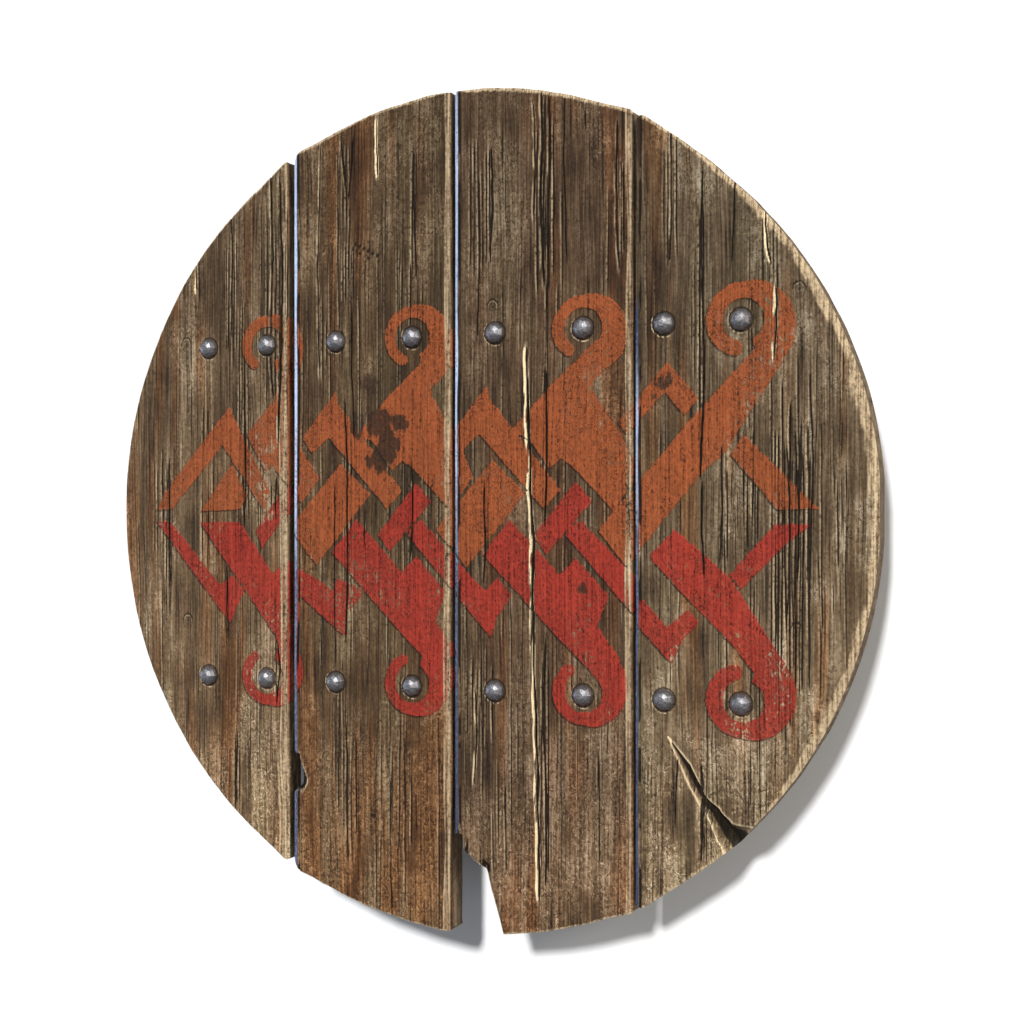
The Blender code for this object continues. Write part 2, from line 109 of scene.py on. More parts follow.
PLANKS = (
    Plank(
        node="plank_left",
        seed=11,
        corners=(0.0, 5.0),
        right_wear=9.5,
        left_wear=0.0,
        cracks=(
            Crack(((-290, 262), (-288, 205)), 0.8, 1.0, 1.3),
            Crack(((-321, 58), (-322, -10), (-320, -80)), 1.5, 1.6),
            Crack(((-250, 300), (-246, 240), (-249, 190)), 1.2, 1.2),
            Crack(((-203, 330), (-200, 240), (-204, 150), (-199, 100)), 1.8, 2.0, 0.4),
            Crack(((-193, 325), (-190, 230), (-192, 120), (-194, 60)), 2.2, 2.4, 0.5),
            Crack(((-233, 130), (-231, 30), (-233, -20)), 1.8, 1.8),
            Crack(((-253, -45), (-252, -100), (-254, -135)), 1.4, 1.4),
            Crack(((-196, 40), (-197, 5), (-195, -12)), 2.4, 2.2),
            Crack(((-195, -120), (-192, -150), (-196, -190)), 2.0, 2.0),
            Crack(((-240, -205), (-243, -260), (-241, -285)), 1.6, 1.6),
            Crack(((-217, -180), (-218, -200)), 1.6, 1.2, 1.0),
        ),
        bundles=(
            (-192, 330, 60, 9, 7),
            (-321, 60, -130, 4, 2),
            (-288, 260, 190, 4, 2),
            (-247, 300, 130, 8, 5),
            (-232, 210, -30, 9, 5),
            (-253, -40, -140, 4, 2),
            (-196, 40, -20, 7, 4),
            (-240, -200, -300, 6, 2),
            (-195, -110, -200, 6, 3),
            (-330, 70, -80, 12, 5),
            (-275, 120, -60, 10, 3),
        ),
        knots=((-301, 163), (-299, -106)),
        tint=(1.0, 1.0, 1.0),
        gain=((-300, 2.7), (-190, 1.75), (20, 1.38), (220, 1.2)),
        rust=0.0,
    ),
    Plank(
        node="plank_mid_left",
        seed=23,
        corners=(10.0, 4.0),
        right_wear=7.5,
        left_wear=5.0,
        cracks=(
            Crack(((-126, 352), (-121, 315), (-117, 282)), 1.8, 1.8, 0.3),
            Crack(((-110, 352), (-113, 315), (-117, 282)), 1.6, 1.8),
            Crack(((-86, 368), (-85, 300)), 1.0, 0.8, 0.9),
            Crack(((-46, 330), (-47, 260), (-44, 205)), 1.6, 1.6),
            Crack(((-121, 110), (-118, 40), (-117, -60), (-119, -125)), 1.7, 1.7),
            Crack(((-112, 190), (-113, 130), (-110, 60)), 1.3, 1.3),
            Crack(((-49, 52), (-48, 10), (-50, -45)), 1.5, 1.6),
            Crack(((-131, 30), (-132, -60), (-130, -150)), 1.1, 1.0),
            Crack(((-118, -190), (-119, -260), (-116, -330)), 1.2, 1.2),
            Crack(((-98, 10), (-99, -40)), 1.0, 0.9),
            Crack(((-146, 350), (-150, 230), (-147, 120)), 0.9, 0.8, 0.5),
            Crack(((-70, -215), (-72, -300), (-69, -365)), 1.0, 0.8),
        ),
        bundles=(
            (-120, 360, 240, 7, 4),
            (-116, 270, 170, 6, 6),
            (-140, 210, 90, 6, 3),
            (-118, 110, -130, 5, 3),
            (-46, 340, 190, 4, 2),
            (-56, 250, 150, 9, 4),
            (-49, 60, -60, 3, 2),
            (-112, -180, -340, 6, 3),
            (-60, -190, -340, 12, 4),
        ),
        knots=(),
        tint=(1.0, 0.94, 0.86),
        gain=((-330, 1.45), (-210, 1.18), (20, 1.0), (220, 0.82)),
        rust=1.0,
        painted_sheen=(
            *((-340, 0.30), (-200, 0.36), (-60, 0.42), (-20, 0.65)),
            *((10, 0.95), (230, 1.0), (330, 0.75)),
        ),
    ),
    Plank(
        node="plank_mid_right",
        seed=37,
        corners=(6.0, 3.0),
        right_wear=6.0,
        left_wear=4.4,
        cracks=(
            Crack(DRYING_CRACK, 2.6, 3.0, 1.0),
            Crack(((80, 372), (82, 320), (79, 270), (83, 190)), 2.4, 2.4, 0.4),
            Crack(((87, 372), (89, 310), (87, 250), (86, 170)), 1.9, 2.0, 0.3),
            Crack(((72, 368), (75, 300), (73, 250)), 1.2, 1.2, 0.5),
            Crack(((84, 130), (86, 60), (84, -20)), 1.6, 1.6),
            Crack(((85, -105), (82, -180), (86, -250), (84, -330)), 1.5, 1.8),
            Crack(((31, 330), (33, 270), (30, 215)), 1.8, 1.8, 0.3),
            Crack(((19, 300), (20, 230), (18, 150)), 1.2, 1.1),
            Crack(((24, 30), (26, -30), (23, -70)), 1.5, 1.5),
            Crack(((152, 340), (150, 280), (153, 200)), 1.5, 1.4, 0.3),
            Crack(((103, 365), (102, 300), (105, 210)), 1.1, 1.0),
            Crack(((15, -150), (17, -200), (14, -250)), 1.4, 1.3, 0.6),
            Crack(((121, 352), (122, 322)), 1.6, 1.4),
        ),
        bundles=(
            (84, 375, 180, 9, 6),
            (20, 340, 190, 12, 6),
            (155, 310, 190, 5, 3),
            (84, 140, -20, 4, 2),
            (84, -100, -335, 4, 3),
            (24, 40, -80, 5, 3),
            (22, -110, -240, 12, 5),
            (40, -230, -330, 10, 3),
        ),
        knots=((33, 181),),
        tint=(1.0, 0.93, 0.92),
        gain=((-330, 1.55), (-220, 1.12), (20, 1.0), (220, 0.90)),
        rust=0.7,
        painted_sheen=((-300, 0.16), (-220, 0.24), (-60, 0.34), (20, 0.70), (130, 0.85), (370, 0.70)),
    ),
    Plank(
        node="plank_right",
        seed=53,
        corners=(10.0, 0.0),
        right_wear=0.0,
        left_wear=3.7,
        cracks=(
            Crack(((228, 292), (227, 220), (229, 130), (226, 20)), 1.6, 1.6),
            Crack(((227, -205), (229, -250), (226, -298)), 1.6, 1.6),
            Crack(((228, 30), (227, -20), (229, -60)), 1.6, 1.8),
            Crack(((200, 330), (201, 270), (198, 200)), 1.2, 1.2, 0.5),
            Crack(((281, 255), (284, 215), (288, 195)), 1.4, 1.2, 0.9),
            Crack(((290, 190), (291, 150), (289, 118)), 1.6, 1.2, 1.0),
            Crack(((300, 60), (302, -20), (300, -90)), 1.2, 1.2),
            Crack(((309, 40), (310, 0), (308, -60)), 1.6, 1.5),
            Crack(((318, 120), (321, 40), (319, -60)), 1.0, 0.9),
            Crack(((254, 330), (255, 250), (253, 200)), 1.0, 0.9),
            Crack(((206, -200), (204, -270)), 1.1, 1.0),
            Crack(((244, 60), (245, 0), (243, -50)), 1.0, 0.9),
        ),
        bundles=(
            (228, 300, 10, 3, 2),
            (303, 120, -190, 18, 12),
            (290, 260, 120, 4, 2),
            (248, 60, -60, 4, 2),
            (200, 340, 190, 8, 4),
            (227, -200, -300, 3, 2),
            (345, 60, -60, 5, 3),
            (270, 90, -40, 8, 4),
        ),
        knots=((310, 180), (308, -97)),
        tint=(1.0, 1.06, 1.12),
        gain=((-290, 2.3), (-190, 1.75), (20, 1.33), (220, 1.03)),
        rust=0.0,
        painted_sheen=(
            *((-320, 0.22), (-130, 0.30), (-20, 0.40), (30, 0.75)),
            *((90, 0.70), (140, 0.30), (190, 0.0), (340, 0.0)),
        ),
    ),
)

# Edge of the broken corner, from the left edge of the plank to the rim. Its first part is splintered
SPLINTERED_EDGE = ((2, -288), (3, -302), (10, -307), (13, -310), (25, -316))
BREAK_EDGE = (*SPLINTERED_EDGE, (27, -319), (30, -331), (36, -350), (42, -372))

# Bite out of the left edge of the middle left plank, and how far the edge is drawn back behind it
CHIP_OUTLINE = (
    *((-190, -226), (-171, -228), (-166, -241), (-162, -250)),
    *((-162, -254), (-166, -261), (-190, -263)),
)
CHIP_DROP = 12.0
CHIP_BITE = ((-263, 0), (-261, 1.5), (-254, 3.5), (-250, 3.5), (-241, 1.5), (-228, 0))
CHIP_BITE_REACH = 20.0

# Split from the rim of the right plank: its tip and direction. Then, by the distance from the tip,
# the places of its left lip, right lip and floor, and its depth
SPLIT_TIP = (199.0, -190.0)
SPLIT_ALONG = (0.591, -0.807)
SPLIT_LEFT = ((0, 0.0), (13, -3.6), (36, -7.5), (56, -10.0), (75, -11.4), (93, -14.6), (115, -20.0))
SPLIT_RIGHT = (
    *((0, 0.2), (14, 1.1), (28, 2.4), (47, 0.2), (55, -2.0)),
    *((66, 1.0), (74, 2.0), (87, 5.0), (96, 14.9), (115, 24.0)),
)
SPLIT_FLOOR = (
    *((0, 0.0), (27, -0.6), (42, -2.4), (53, -3.4)),
    *((66, -4.8), (80, -4.2), (92, -4.2), (115, -5.5)),
)
SPLIT_DROP = ((0, 0.0), (20, 3.0), (33, 6.0), (66, 11.0), (98, 19.0), (115, 20.0))

# Scratches across the grain: two ends and a width
SCRATCHES = (
    ((-118, 252), (-84, 234), 1.4),
    ((-112, 243), (-92, 231), 0.9),
    ((-104, 205), (-88, 192), 0.8),
    ((-60, -280), (-48, -281), 1.2),
    ((-92, -279), (-78, -280), 1.6),
    ((128, -268), (150, -262), 1.0),
    ((268, -92), (282, -101), 0.9),
)

# Dark stains: place, reach across and along, and strength
STAINS = (
    (-78, 55, 23, 26, 1.0),
    (-84, 82, 23, 22, 0.85),
    (-62, 82, 17, 12, 0.8),
    (-106, 78, 12, 20, 0.8),
    (-93, 46, 10, 10, 0.7),
    (-95, 118, 22, 16, 0.6),
    (195, 108, 14, 12, 0.8),
    (190, 95, 12, 10, 0.5),
    (-14, -318, 16, 60, 0.5),
    (120, -66, 10, 8, 0.7),
    (66, 205, 26, 60, 0.35),
    (125, 240, 40, 70, 0.3),
)

# Curls of the band: middle, reach to the left, up and to the right, and the turn at which the tip ends
CURLS = (
    (-205.9, 29.0, 28.0, 39.0, 243.0),
    (-48.3, 29.0, 29.0, 39.0, 258.0),
    (120.2, 29.8, 28.5, 39.5, 247.0),
    (263.0, 32.5, 31.0, 43.5, 268.0),
)

# Every curl starts at this turn, in degrees, round a hole of this radius. It swells beside its foot
# and narrows towards its tip
CURL_START = -66.0
CURL_HOLE = 17.5
CURL_FOOT = ((CURL_START, 1.5), (-27, 4.0), (0, 1.0))
CURL_TIP_NARROWER = 1.5

# How much higher the lower curls lie than their rivets
LOWER_CURL_RISE = 2.5

# The middle unit of the band, from its own middle, its two places and the joint at which it ends
UNIT_MIDDLES = (-37.5, 120.0)
UNIT_END = 166.0
UNIT_ORANGE = (
    ((12, 147), (38, 138), (9, 111), (9, 100), (-37, 60), (-70, 70), (-37, 104)),
    (
        *((-37, 104), (9, 104), (40, 58), (51, 31), (28, 1)),
        *((-10, 39), (-21, 46), (-32, 37), (-50, 61), (-64, 76)),
    ),
    ((-92, 112), (-90, 100), (-21, 19), (-37, 2), (-100, 69), (-118, 54), (-129, 69)),
    ((-87, 45), (-55, 16), (-113, -50), (-144, -16)),
)
UNIT_RED = (
    (
        *((-70, -7), (-97, -38), (-50, -84), (-22, -111), (9, -139)),
        *((36, -128), (13, -98), (24, -72), (-7, -40), (-22, -55)),
    ),
    ((-7, 26), (9, 9), (-35, -37), (-47, -21)),
    ((-2, -7), (63, -71), (75, -58), (90, -73), (74, -94), (69, -112), (-18, -19)),
)

# How far the painted shadow beneath the lower left edges of the paint reaches
PAINT_SHADOW = 1.1

# The plain ends of the band, left and right
LEFT_ORANGE = (
    (
        *((-337, 1), (-327, 19), (-250, 101), (-230, 66), (-202, 18)),
        *((-210, 1), (-258, 64), (-312, 8), (-318, 2)),
    ),
    ((-247, 46), (-228, 15), (-238, 2), (-284, 0)),
    (
        *((-230, 74), (-196, 108), (-180, 122), (-169, 60), (-147, 31)),
        *((-167, 8), (-190, 32), (-200, 44), (-208, 37)),
    ),
    ((-194, 150), (-175, 150), (-178, 100), (-199, 104), (-193, 126)),
)
LEFT_RED = (
    ((-338, -9), (-320, -10), (-261, -70), (-245, -61), (-233, -76), (-243, -95), (-248, -108)),
    (
        *((-285, -10), (-237, -10), (-200, -59), (-180, -44)),
        *((-170, -80), (-172, -150), (-189, -141), (-197, -117)),
    ),
    ((-219, -18), (-194, 15), (-178, 29), (-165, 15), (-192, -11), (-212, -35)),
    (
        *((-173, -52), (-146, -65), (-134, -74), (-128, -62), (-111, -67)),
        *((-100, -75), (-119, -96), (-120, -116), (-173, -76)),
    ),
)
RIGHT_ORANGE = (
    (
        *((276, 137), (305, 138), (296, 121), (286, 106), (262, 71)),
        *((249, 50), (227, 32), (160, -47), (134, -16), (220, 80)),
    ),
    ((197, 126), (225, 94), (212, 80), (195, 100), (160, 66), (152, 76)),
    ((263, 64), (327, 2), (292, 1), (252, 47)),
)
RIGHT_RED = (
    ((204, -15), (251, -54), (299, -124), (307, -150), (276, -137), (256, -112), (220, -78), (180, -38)),
    ((251, -52), (290, -10), (322, -10), (303, -23), (261, -64)),
    (
        *((168, -68), (173, -73), (197, -97), (215, -82), (226, -93)),
        *((211, -106), (201, -128), (174, -101), (168, -95)),
    ),
)

# Rivets: profiles of the faceted head and of the tail as shares of their radius and height, then
# sizes in millimetres, and the angle in degrees from which an edge between facets is rounded
HEAD_PROFILE = ((0.30, 1.0), (0.66, 0.80), (0.90, 0.42), (1.0, 0.08), (0.97, 0.0))
TAIL_PROFILE = ((1.0, 0.0), (0.98, 0.35), (0.72, 0.8), (0.3, 1.0))
SHANK_RADIUS = 3.5
TAIL_HEIGHT = 2.2
TAIL_RADIUS = 5.6
RIVET_SIDES = 8
RIVET_DENT = 0.16
FACET_ROUNDING = 0.22
FACET_LEAST_ANGLE = 8.0

# Relief is calm round a rivet: none of the cuts up to the first distance, all of them from the second
SEAT_EDGE = (9.0, 13.0)

# Radius of the rim by its angle, and how much fuller it is at the joints (place, fullness, reach)
RIM_RADII = (
    *((-180, 375.0), (-90, 375.2), (15, 375.2), (34, 373.4), (50, 372.6)),
    *((58, 375.4), (75, 376.2), (130, 376.2), (180, 375.0)),
)
RIM_CORNERS = ((-178.0, 3.4, 20.0), (-7.0, 1.7, 28.0), (168.0, 3.4, 20.0))

# Width of the worn rim by its angle in degrees, anticlockwise from the right
RIM_WORN = (
    *((-90, 2.0), (-60, 2.2), (-38, 3.5), (-28, 8.5), (0, 10.5), (22, 10.0)),
    *((40, 6.5), (55, 3.5), (90, 3.4), (130, 2.2), (180, 1.2), (270, 1.6)),
)

# How finely the planks are meshed, in millimetres. The right plank has fine rows up to a share of its
# length, round its split, and wide rows above. The last rows of any plank lie this far from its end
COLUMN_STEP = 0.68
ROW_STEP = 3.4
FINE_ROW_STEP = 1.4
WIDE_ROW_STEP = 4.25
FINE_ROWS_BELOW = 0.24
END_ROWS = (0.0, 0.6, 1.3, 2.1, 3.1, 4.4, 6.2)
WALL_LEVELS = 6

# Where the rim runs along an outer plank, its columns are chords of the rim: their half lengths, how
# far they lie inside the rim, and the gap before the even columns begin
CHORD_SHORTEST = 16.0
CHORD_LONGEST = 105.0
CHORD_STEP = 3.2
CHORD_INSET = 0.3
CHORD_GAP = 0.4

# The least thickness that any cut leaves of a plank
LEAST_THICKNESS = 5.0

# The share of a plank's thickness down to which the paint runs over its edge, and how fast it ends
PAINT_RUNS_DOWN = 0.35
PAINT_RUN_END = 90.0

# The masks of the paint are kept within this many millimetres of its edge
PAINT_MASK_REACH = 20

# Fine grooves of each plank that lie outside its bundles
LOOSE_GROOVES = 56

# Boards behind the planks: the axes along and across their grain, the scale of the grain along each
# axis, the size in metres to which they are remeshed, and the wear of their edges in millimetres
BATTEN_AXES = (0, 1)
BATTEN_GRAIN = (18.0, 300.0, 300.0)
BATTEN_MESH = 0.0024
BATTEN_WEAR = 1.6
GRIP_AXES = (1, 0)
GRIP_GRAIN = (300.0, 16.0, 300.0)
GRIP_MESH = 0.0020
GRIP_WEAR = 1.8

# Stage, in metres. A side light has its place, its width and its colour
FLOOR_SIZE = 14.0
KEY_PLACE = (0.275, 1.22, 2.5)
WARM_LIGHT = ((2.6, 0.9, 1.1), 0.8, (1.0, 0.95, 0.86))
COOL_LIGHT = ((-2.9, -0.1, 0.8), 0.9, (0.62, 0.74, 1.0))
ROOM_COLOUR = (0.98, 0.99, 1.0, 1.0)
ROOM_STRENGTH = 0.225
CAMERA_AIM = (0.0524, -0.0003, PLANK_FACE)
SENSOR_WIDTH = 36.0


# Steady noise


def lattice(ix, iy, seed):
    """A steady random number from 0 to 1 for each whole-numbered place."""
    n = (ix.astype(np.int64) * 374761393 + iy.astype(np.int64) * 668265263 + seed * 974711) & 0xFFFFFFFF
    n = ((n ^ (n >> 13)) * 1274126177) & 0xFFFFFFFF
    n = ((n ^ (n >> 16)) * 2246822519) & 0xFFFFFFFF
    return ((n >> 8) & 0xFFFF) / 65535.0


def ease(share):
    return share * share * (3.0 - 2.0 * share)


def step_between(value, low, high):
    return ease(np.clip((value - low) / (high - low), 0.0, 1.0))


def noise(x, y, across, along, seed):
    """Smooth noise from 0 to 1 whose features measure across by along millimetres."""
    gx, gy = x / across, y / along
    ix, iy = np.floor(gx), np.floor(gy)
    fx, fy = ease(gx - ix), ease(gy - iy)
    low = lattice(ix, iy, seed) * (1 - fx) + lattice(ix + 1, iy, seed) * fx
    high = lattice(ix, iy + 1, seed) * (1 - fx) + lattice(ix + 1, iy + 1, seed) * fx
    return low * (1 - fy) + high * fy


def waver(y, length, seed):
    """Noise that changes only along the grain."""
    return noise(0 * y, y, 1, length, seed)


# Distances


def from_segment(x, y, start, end):
    """Distance from each place to a straight line between two points."""
    ax, ay = end[0] - start[0], end[1] - start[1]
    share = np.clip(((x - start[0]) * ax + (y - start[1]) * ay) / (ax * ax + ay * ay), 0.0, 1.0)
    return np.hypot(x - start[0] - ax * share, y - start[1] - ay * share)


def from_path(x, y, points):
    return np.min([from_segment(x, y, a, b) for a, b in zip(points, points[1:])], axis=0)


def inside(x, y, outline):
    """Distance into a closed outline, negative outside it."""
    crossings = np.zeros(x.shape, dtype=bool)
    closed = tuple(outline) + (outline[0],)
    for (ax, ay), (bx, by) in zip(closed, closed[1:]):
        if ay == by:
            continue
        meets = ((ay > y) != (by > y)) & (x < (bx - ax) * (y - ay) / (by - ay) + ax)
        crossings ^= meets
    depth = from_path(x, y, closed)
    return np.where(crossings, depth, -depth)


def along(table, place):
    """A value that changes evenly between the places of a table."""
    return np.interp(place, [row[0] for row in table], [row[1] for row in table])


# Painted band


def curl(x, y, middle, side, reach, tip):
    """Distance into a curl round a rivet, which swells from its left over the top to its right."""
    left, up, right = reach
    px, py = x - middle[0], side * (y - middle[1])
    radius = np.hypot(px, py)
    turn = (np.degrees(np.arctan2(py, px)) - CURL_START) % 360.0 + CURL_START
    tip_edge = left - CURL_TIP_NARROWER
    half, ring = (tip_edge - CURL_HOLE) / 2, (tip_edge + CURL_HOLE) / 2
    last = np.radians(tip) - half / ring
    foot = tuple((at, right + swell) for at, swell in CURL_FOOT)
    outer = along((*foot, (90, up), (180, left), (np.degrees(last), tip_edge)), turn)
    body = np.minimum(outer - radius, radius - CURL_HOLE)
    round_tip = half - np.hypot(px - ring * np.cos(last), py - ring * np.sin(last))
    return np.where(turn < np.degrees(last), body, round_tip)


def painted(x, y, rivet_y):
    """Distances into the orange and into the red of the band."""
    orange = [inside(x, y, shape) for shape in LEFT_ORANGE + RIGHT_ORANGE]
    red = [inside(x, y, shape) for shape in LEFT_RED + RIGHT_RED]
    for middle in UNIT_MIDDLES:
        orange += [np.minimum(inside(x - middle, y, shape), UNIT_END - x) for shape in UNIT_ORANGE]
        red += [np.minimum(inside(x - middle, y, shape), UNIT_END - x) for shape in UNIT_RED]
    for curl_x, left, up, right, tip in CURLS:
        reach = (left, up, right)
        orange.append(curl(x, y, (curl_x, rivet_y), 1, reach, tip))
        red.append(curl(x, y, (curl_x, LOWER_CURL_RISE - rivet_y), -1, reach, tip))
    return np.max(orange, axis=0), np.max(red, axis=0)


# Outlines of the planks


def edges_of(plank):
    low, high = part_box(plank.node)
    return low.x / MM, high.x / MM


def rim_at(plank, x, y):
    """Radius of the rim by its angle, a little uneven, and fuller at the joints."""
    angle = np.degrees(np.arctan2(np.sign(y) * np.sqrt(np.maximum(RIM_RADIUS**2 - x**2, 0.0)), x))
    uneven = noise(x, np.sign(y) * 40 + 0 * x, 9.0, 9.0, plank.seed + 70)
    radius = along(RIM_RADII, angle) + 0.8 * (uneven - 0.5)
    for place, fullness, reach in RIM_CORNERS:
        radius = radius + fullness * np.exp(-(((x - place) / reach) ** 2))
    return radius


def corner_cut(distance, radius):
    if radius == 0:
        return 0 * distance
    reach = np.clip(radius - distance, 0.0, radius)
    return radius - np.sqrt(radius**2 - reach**2)


def end_of(plank, x, side):
    """The upper or lower end of the plank above each place across it."""
    left, right = edges_of(plank)
    radius = rim_at(plank, x, side * np.ones_like(x))
    half = np.sqrt(np.maximum(radius**2 - x**2, 1.0))
    half = half - corner_cut(x - left, plank.corners[0]) - corner_cut(right - x, plank.corners[1])
    end = side * np.minimum(half, RIM_LIMIT)
    if plank.node == "plank_mid_right" and side < 0:
        broken = along(BREAK_EDGE, x) + 1.5 * (noise(x, x * 0, 2.2, 1.0, 5) - 0.5)
        end = np.where(x < BREAK_EDGE[-1][0], np.maximum(end, broken), end)
    return end


def columns_of(plank):
    """Places across the plank, closer together where the rim runs along them."""
    left, right = edges_of(plank)
    shore = math.sqrt(RIM_RADIUS**2 - CHORD_LONGEST**2)
    chords = np.arange(CHORD_SHORTEST, CHORD_LONGEST, CHORD_STEP)
    near_rim = np.sqrt((RIM_RADIUS - CHORD_INSET) ** 2 - chords**2)
    if plank.left_wear == 0:
        inner = np.arange(-shore + CHORD_GAP, right, COLUMN_STEP)
        return np.concatenate([-near_rim, inner, [right]])
    if plank.right_wear == 0:
        inner = np.arange(shore - CHORD_GAP, left, -COLUMN_STEP)
        return np.concatenate([[left], inner[::-1], near_rim[::-1]])
    return np.linspace(left, right, int((right - left) / COLUMN_STEP))


def rows_of(plank):
    """Shares along the plank, closer together at its ends and, on the right plank, round its split."""
    length = 2 * RIM_RADIUS
    ends = np.array(END_ROWS) / length
    start = ends[-1]
    low = np.arange(start, 1 - start, ROW_STEP / length)
    if plank.node == "plank_right":
        fine = np.arange(start, FINE_ROWS_BELOW, FINE_ROW_STEP / length)
        low = np.concatenate([fine, np.arange(FINE_ROWS_BELOW, 1 - start, WIDE_ROW_STEP / length)])
    return np.concatenate([ends[:-1], low, 1 - ends[::-1]])


# Relief of the face


def grain(plank, x, y):
    """Depth of the raised grain between the grooves."""
    seed = plank.seed
    sway = 7.0 * (noise(x, y, 60, 300, seed) - 0.5) + 2.2 * (noise(x, y, 22, 90, seed + 1) - 0.5)
    u = x + sway
    fibres = noise(u, y, 2.1, 55, seed + 6) * 0.6 + noise(u, y, 1.4, 28, seed + 7) * 0.4
    swell = noise(x, y, 26, 75, seed + 8)
    return 0.45 * fibres + 0.8 * swell


def groove_lines(plank):
    """Places across, tops, feet and strengths of the fine grooves: those in bundles and those between."""
    random = np.random.default_rng(plank.seed)
    left, right = edges_of(plank)
    lines = []
    for middle, top, foot, spread, count in plank.bundles:
        for number in range(count):
            place = middle + spread * ((2 * number + 1) / count - 1) + random.uniform(-0.7, 0.7)
            length = top - foot
            upper, lower = top - random.uniform(0, 0.22) * length, foot + random.uniform(0, 0.22) * length
            lines.append((place, upper, lower, random.uniform(0.45, 1.0)))
    for _ in range(LOOSE_GROOVES):
        top = random.uniform(-220, 360)
        place, length = random.uniform(left + 8, right - 8), random.uniform(50, 260)
        lines.append((place, top, top - length, random.uniform(0.1, 0.55)))
    return lines


def grooved(plank, x, y):
    """Depth of the fine grooves, the painted shade in them, and the painted highlight at the left of each.
    """
    drop, dark, lips = 0 * x, 0 * x, 0 * x
    for index, (place, top, foot, strength) in enumerate(groove_lines(plank)):
        near = (np.abs(x - place) < 7) & (y < top) & (y > foot)
        nx, ny = x[near], y[near]
        if nx.size == 0:
            continue
        seed = plank.seed + 500 + 3 * index
        line = place + 2.6 * (waver(ny, 130, seed) - 0.5)
        line = line + 0.6 * (waver(ny, 22, seed + 1) - 0.5)
        body = step_between(ny, foot, foot + 22) * step_between(-ny, -top, -top + 22)
        body = body * (0.25 + 1.1 * waver(ny, 26, seed + 2))
        half = 0.08 + 0.45 * strength * body
        away = nx - line
        # Painted shade darkens each groove, and a painted highlight runs along its left side.
        shape = step_between(-np.abs(away), -half - 0.6, -half * 0.2) * np.minimum(body * 1.6, 1)
        lip = step_between(-np.abs(away + half + 0.95), -0.95, -0.25) * np.minimum(body * 1.3, 1)
        drop[near] = np.maximum(drop[near], 1.2 * strength * shape)
        dark[near] = np.maximum(dark[near], shape * (0.45 + 0.60 * strength))
        lips[near] = np.maximum(lips[near], lip * (0.04 + 0.90 * strength))
    return drop, dark, lips * (1 - dark)


def cracked(plank, x, y):
    """Depth of the plank's named cracks, the painted shade in them, and the light lips beside them."""
    drop, dark, lips = 0 * x, 0 * x, 0 * x
    for index, crack in enumerate(plank.cracks):
        ys = np.array([point[1] for point in crack.points], dtype=float)
        xs = np.array([point[0] for point in crack.points], dtype=float)
        line = np.interp(y, ys[::-1], xs[::-1])
        line = line + 1.3 * (waver(y, 34, plank.seed + 20 + index) - 0.5)
        line = line + 0.6 * (waver(y, 9, plank.seed + 40 + index) - 0.5)
        body = step_between(y, ys[-1], ys[-1] + 18) * step_between(-y, -ys[0], -ys[0] + 18)
        body = body * (0.55 + 0.9 * waver(y, 24, plank.seed + 60 + index))
        away = np.abs(x - line)
        half = crack.width / 2 * np.maximum(body, 0.15)
        shape = step_between(-away, -half - 0.4, -half * 0.3) * np.minimum(body * 2, 1)
        drop = np.maximum(drop, crack.depth * shape)
        dark = np.maximum(dark, shape)
        reach = half + 0.7 + 1.1 * crack.lips
        beside = np.where(x < line, away, away * 1.9)
        lip = step_between(-beside, -reach - 0.8, -reach) * (1 - shape) * np.minimum(body * 2, 1)
        patchy = step_between(noise(x, y, 1.6, 14, plank.seed + 80 + index), 0.2, 0.5)
        lips = np.maximum(lips, 1.9 * np.minimum(crack.lips, 1.0) * lip * patchy)
    return drop, dark, lips


def scratched(x, y):
    """Depth and darkness of the scratches across the grain."""
    drop, dark = 0 * x, 0 * x
    for start, end, width in SCRATCHES:
        line = step_between(-from_segment(x, y, start, end), -width, -width * 0.3)
        line = line * step_between(noise(x, y, 5, 5, 91), 0.2, 0.5)
        drop = np.maximum(drop, 0.9 * line)
        dark = np.maximum(dark, 0.7 * line)
    return drop, dark


def stained(x, y):
    """Dark stains with ragged borders."""
    total = 0 * x
    ragged = 0.3 * noise(x, y, 1.8, 3.5, 6) + 0.35 * noise(x, y, 3.0, 7.0, 7)
    ragged = ragged + 0.35 * noise(x, y, 9.0, 12.0, 8)
    for sx, sy, reach_x, reach_y, strength in STAINS:
        spot = 1 - np.hypot((x - sx) / reach_x, (y - sy) / reach_y)
        total = np.maximum(total, strength * step_between(spot + 1.1 * (ragged - 0.5), 0.2, 0.62))
    return total


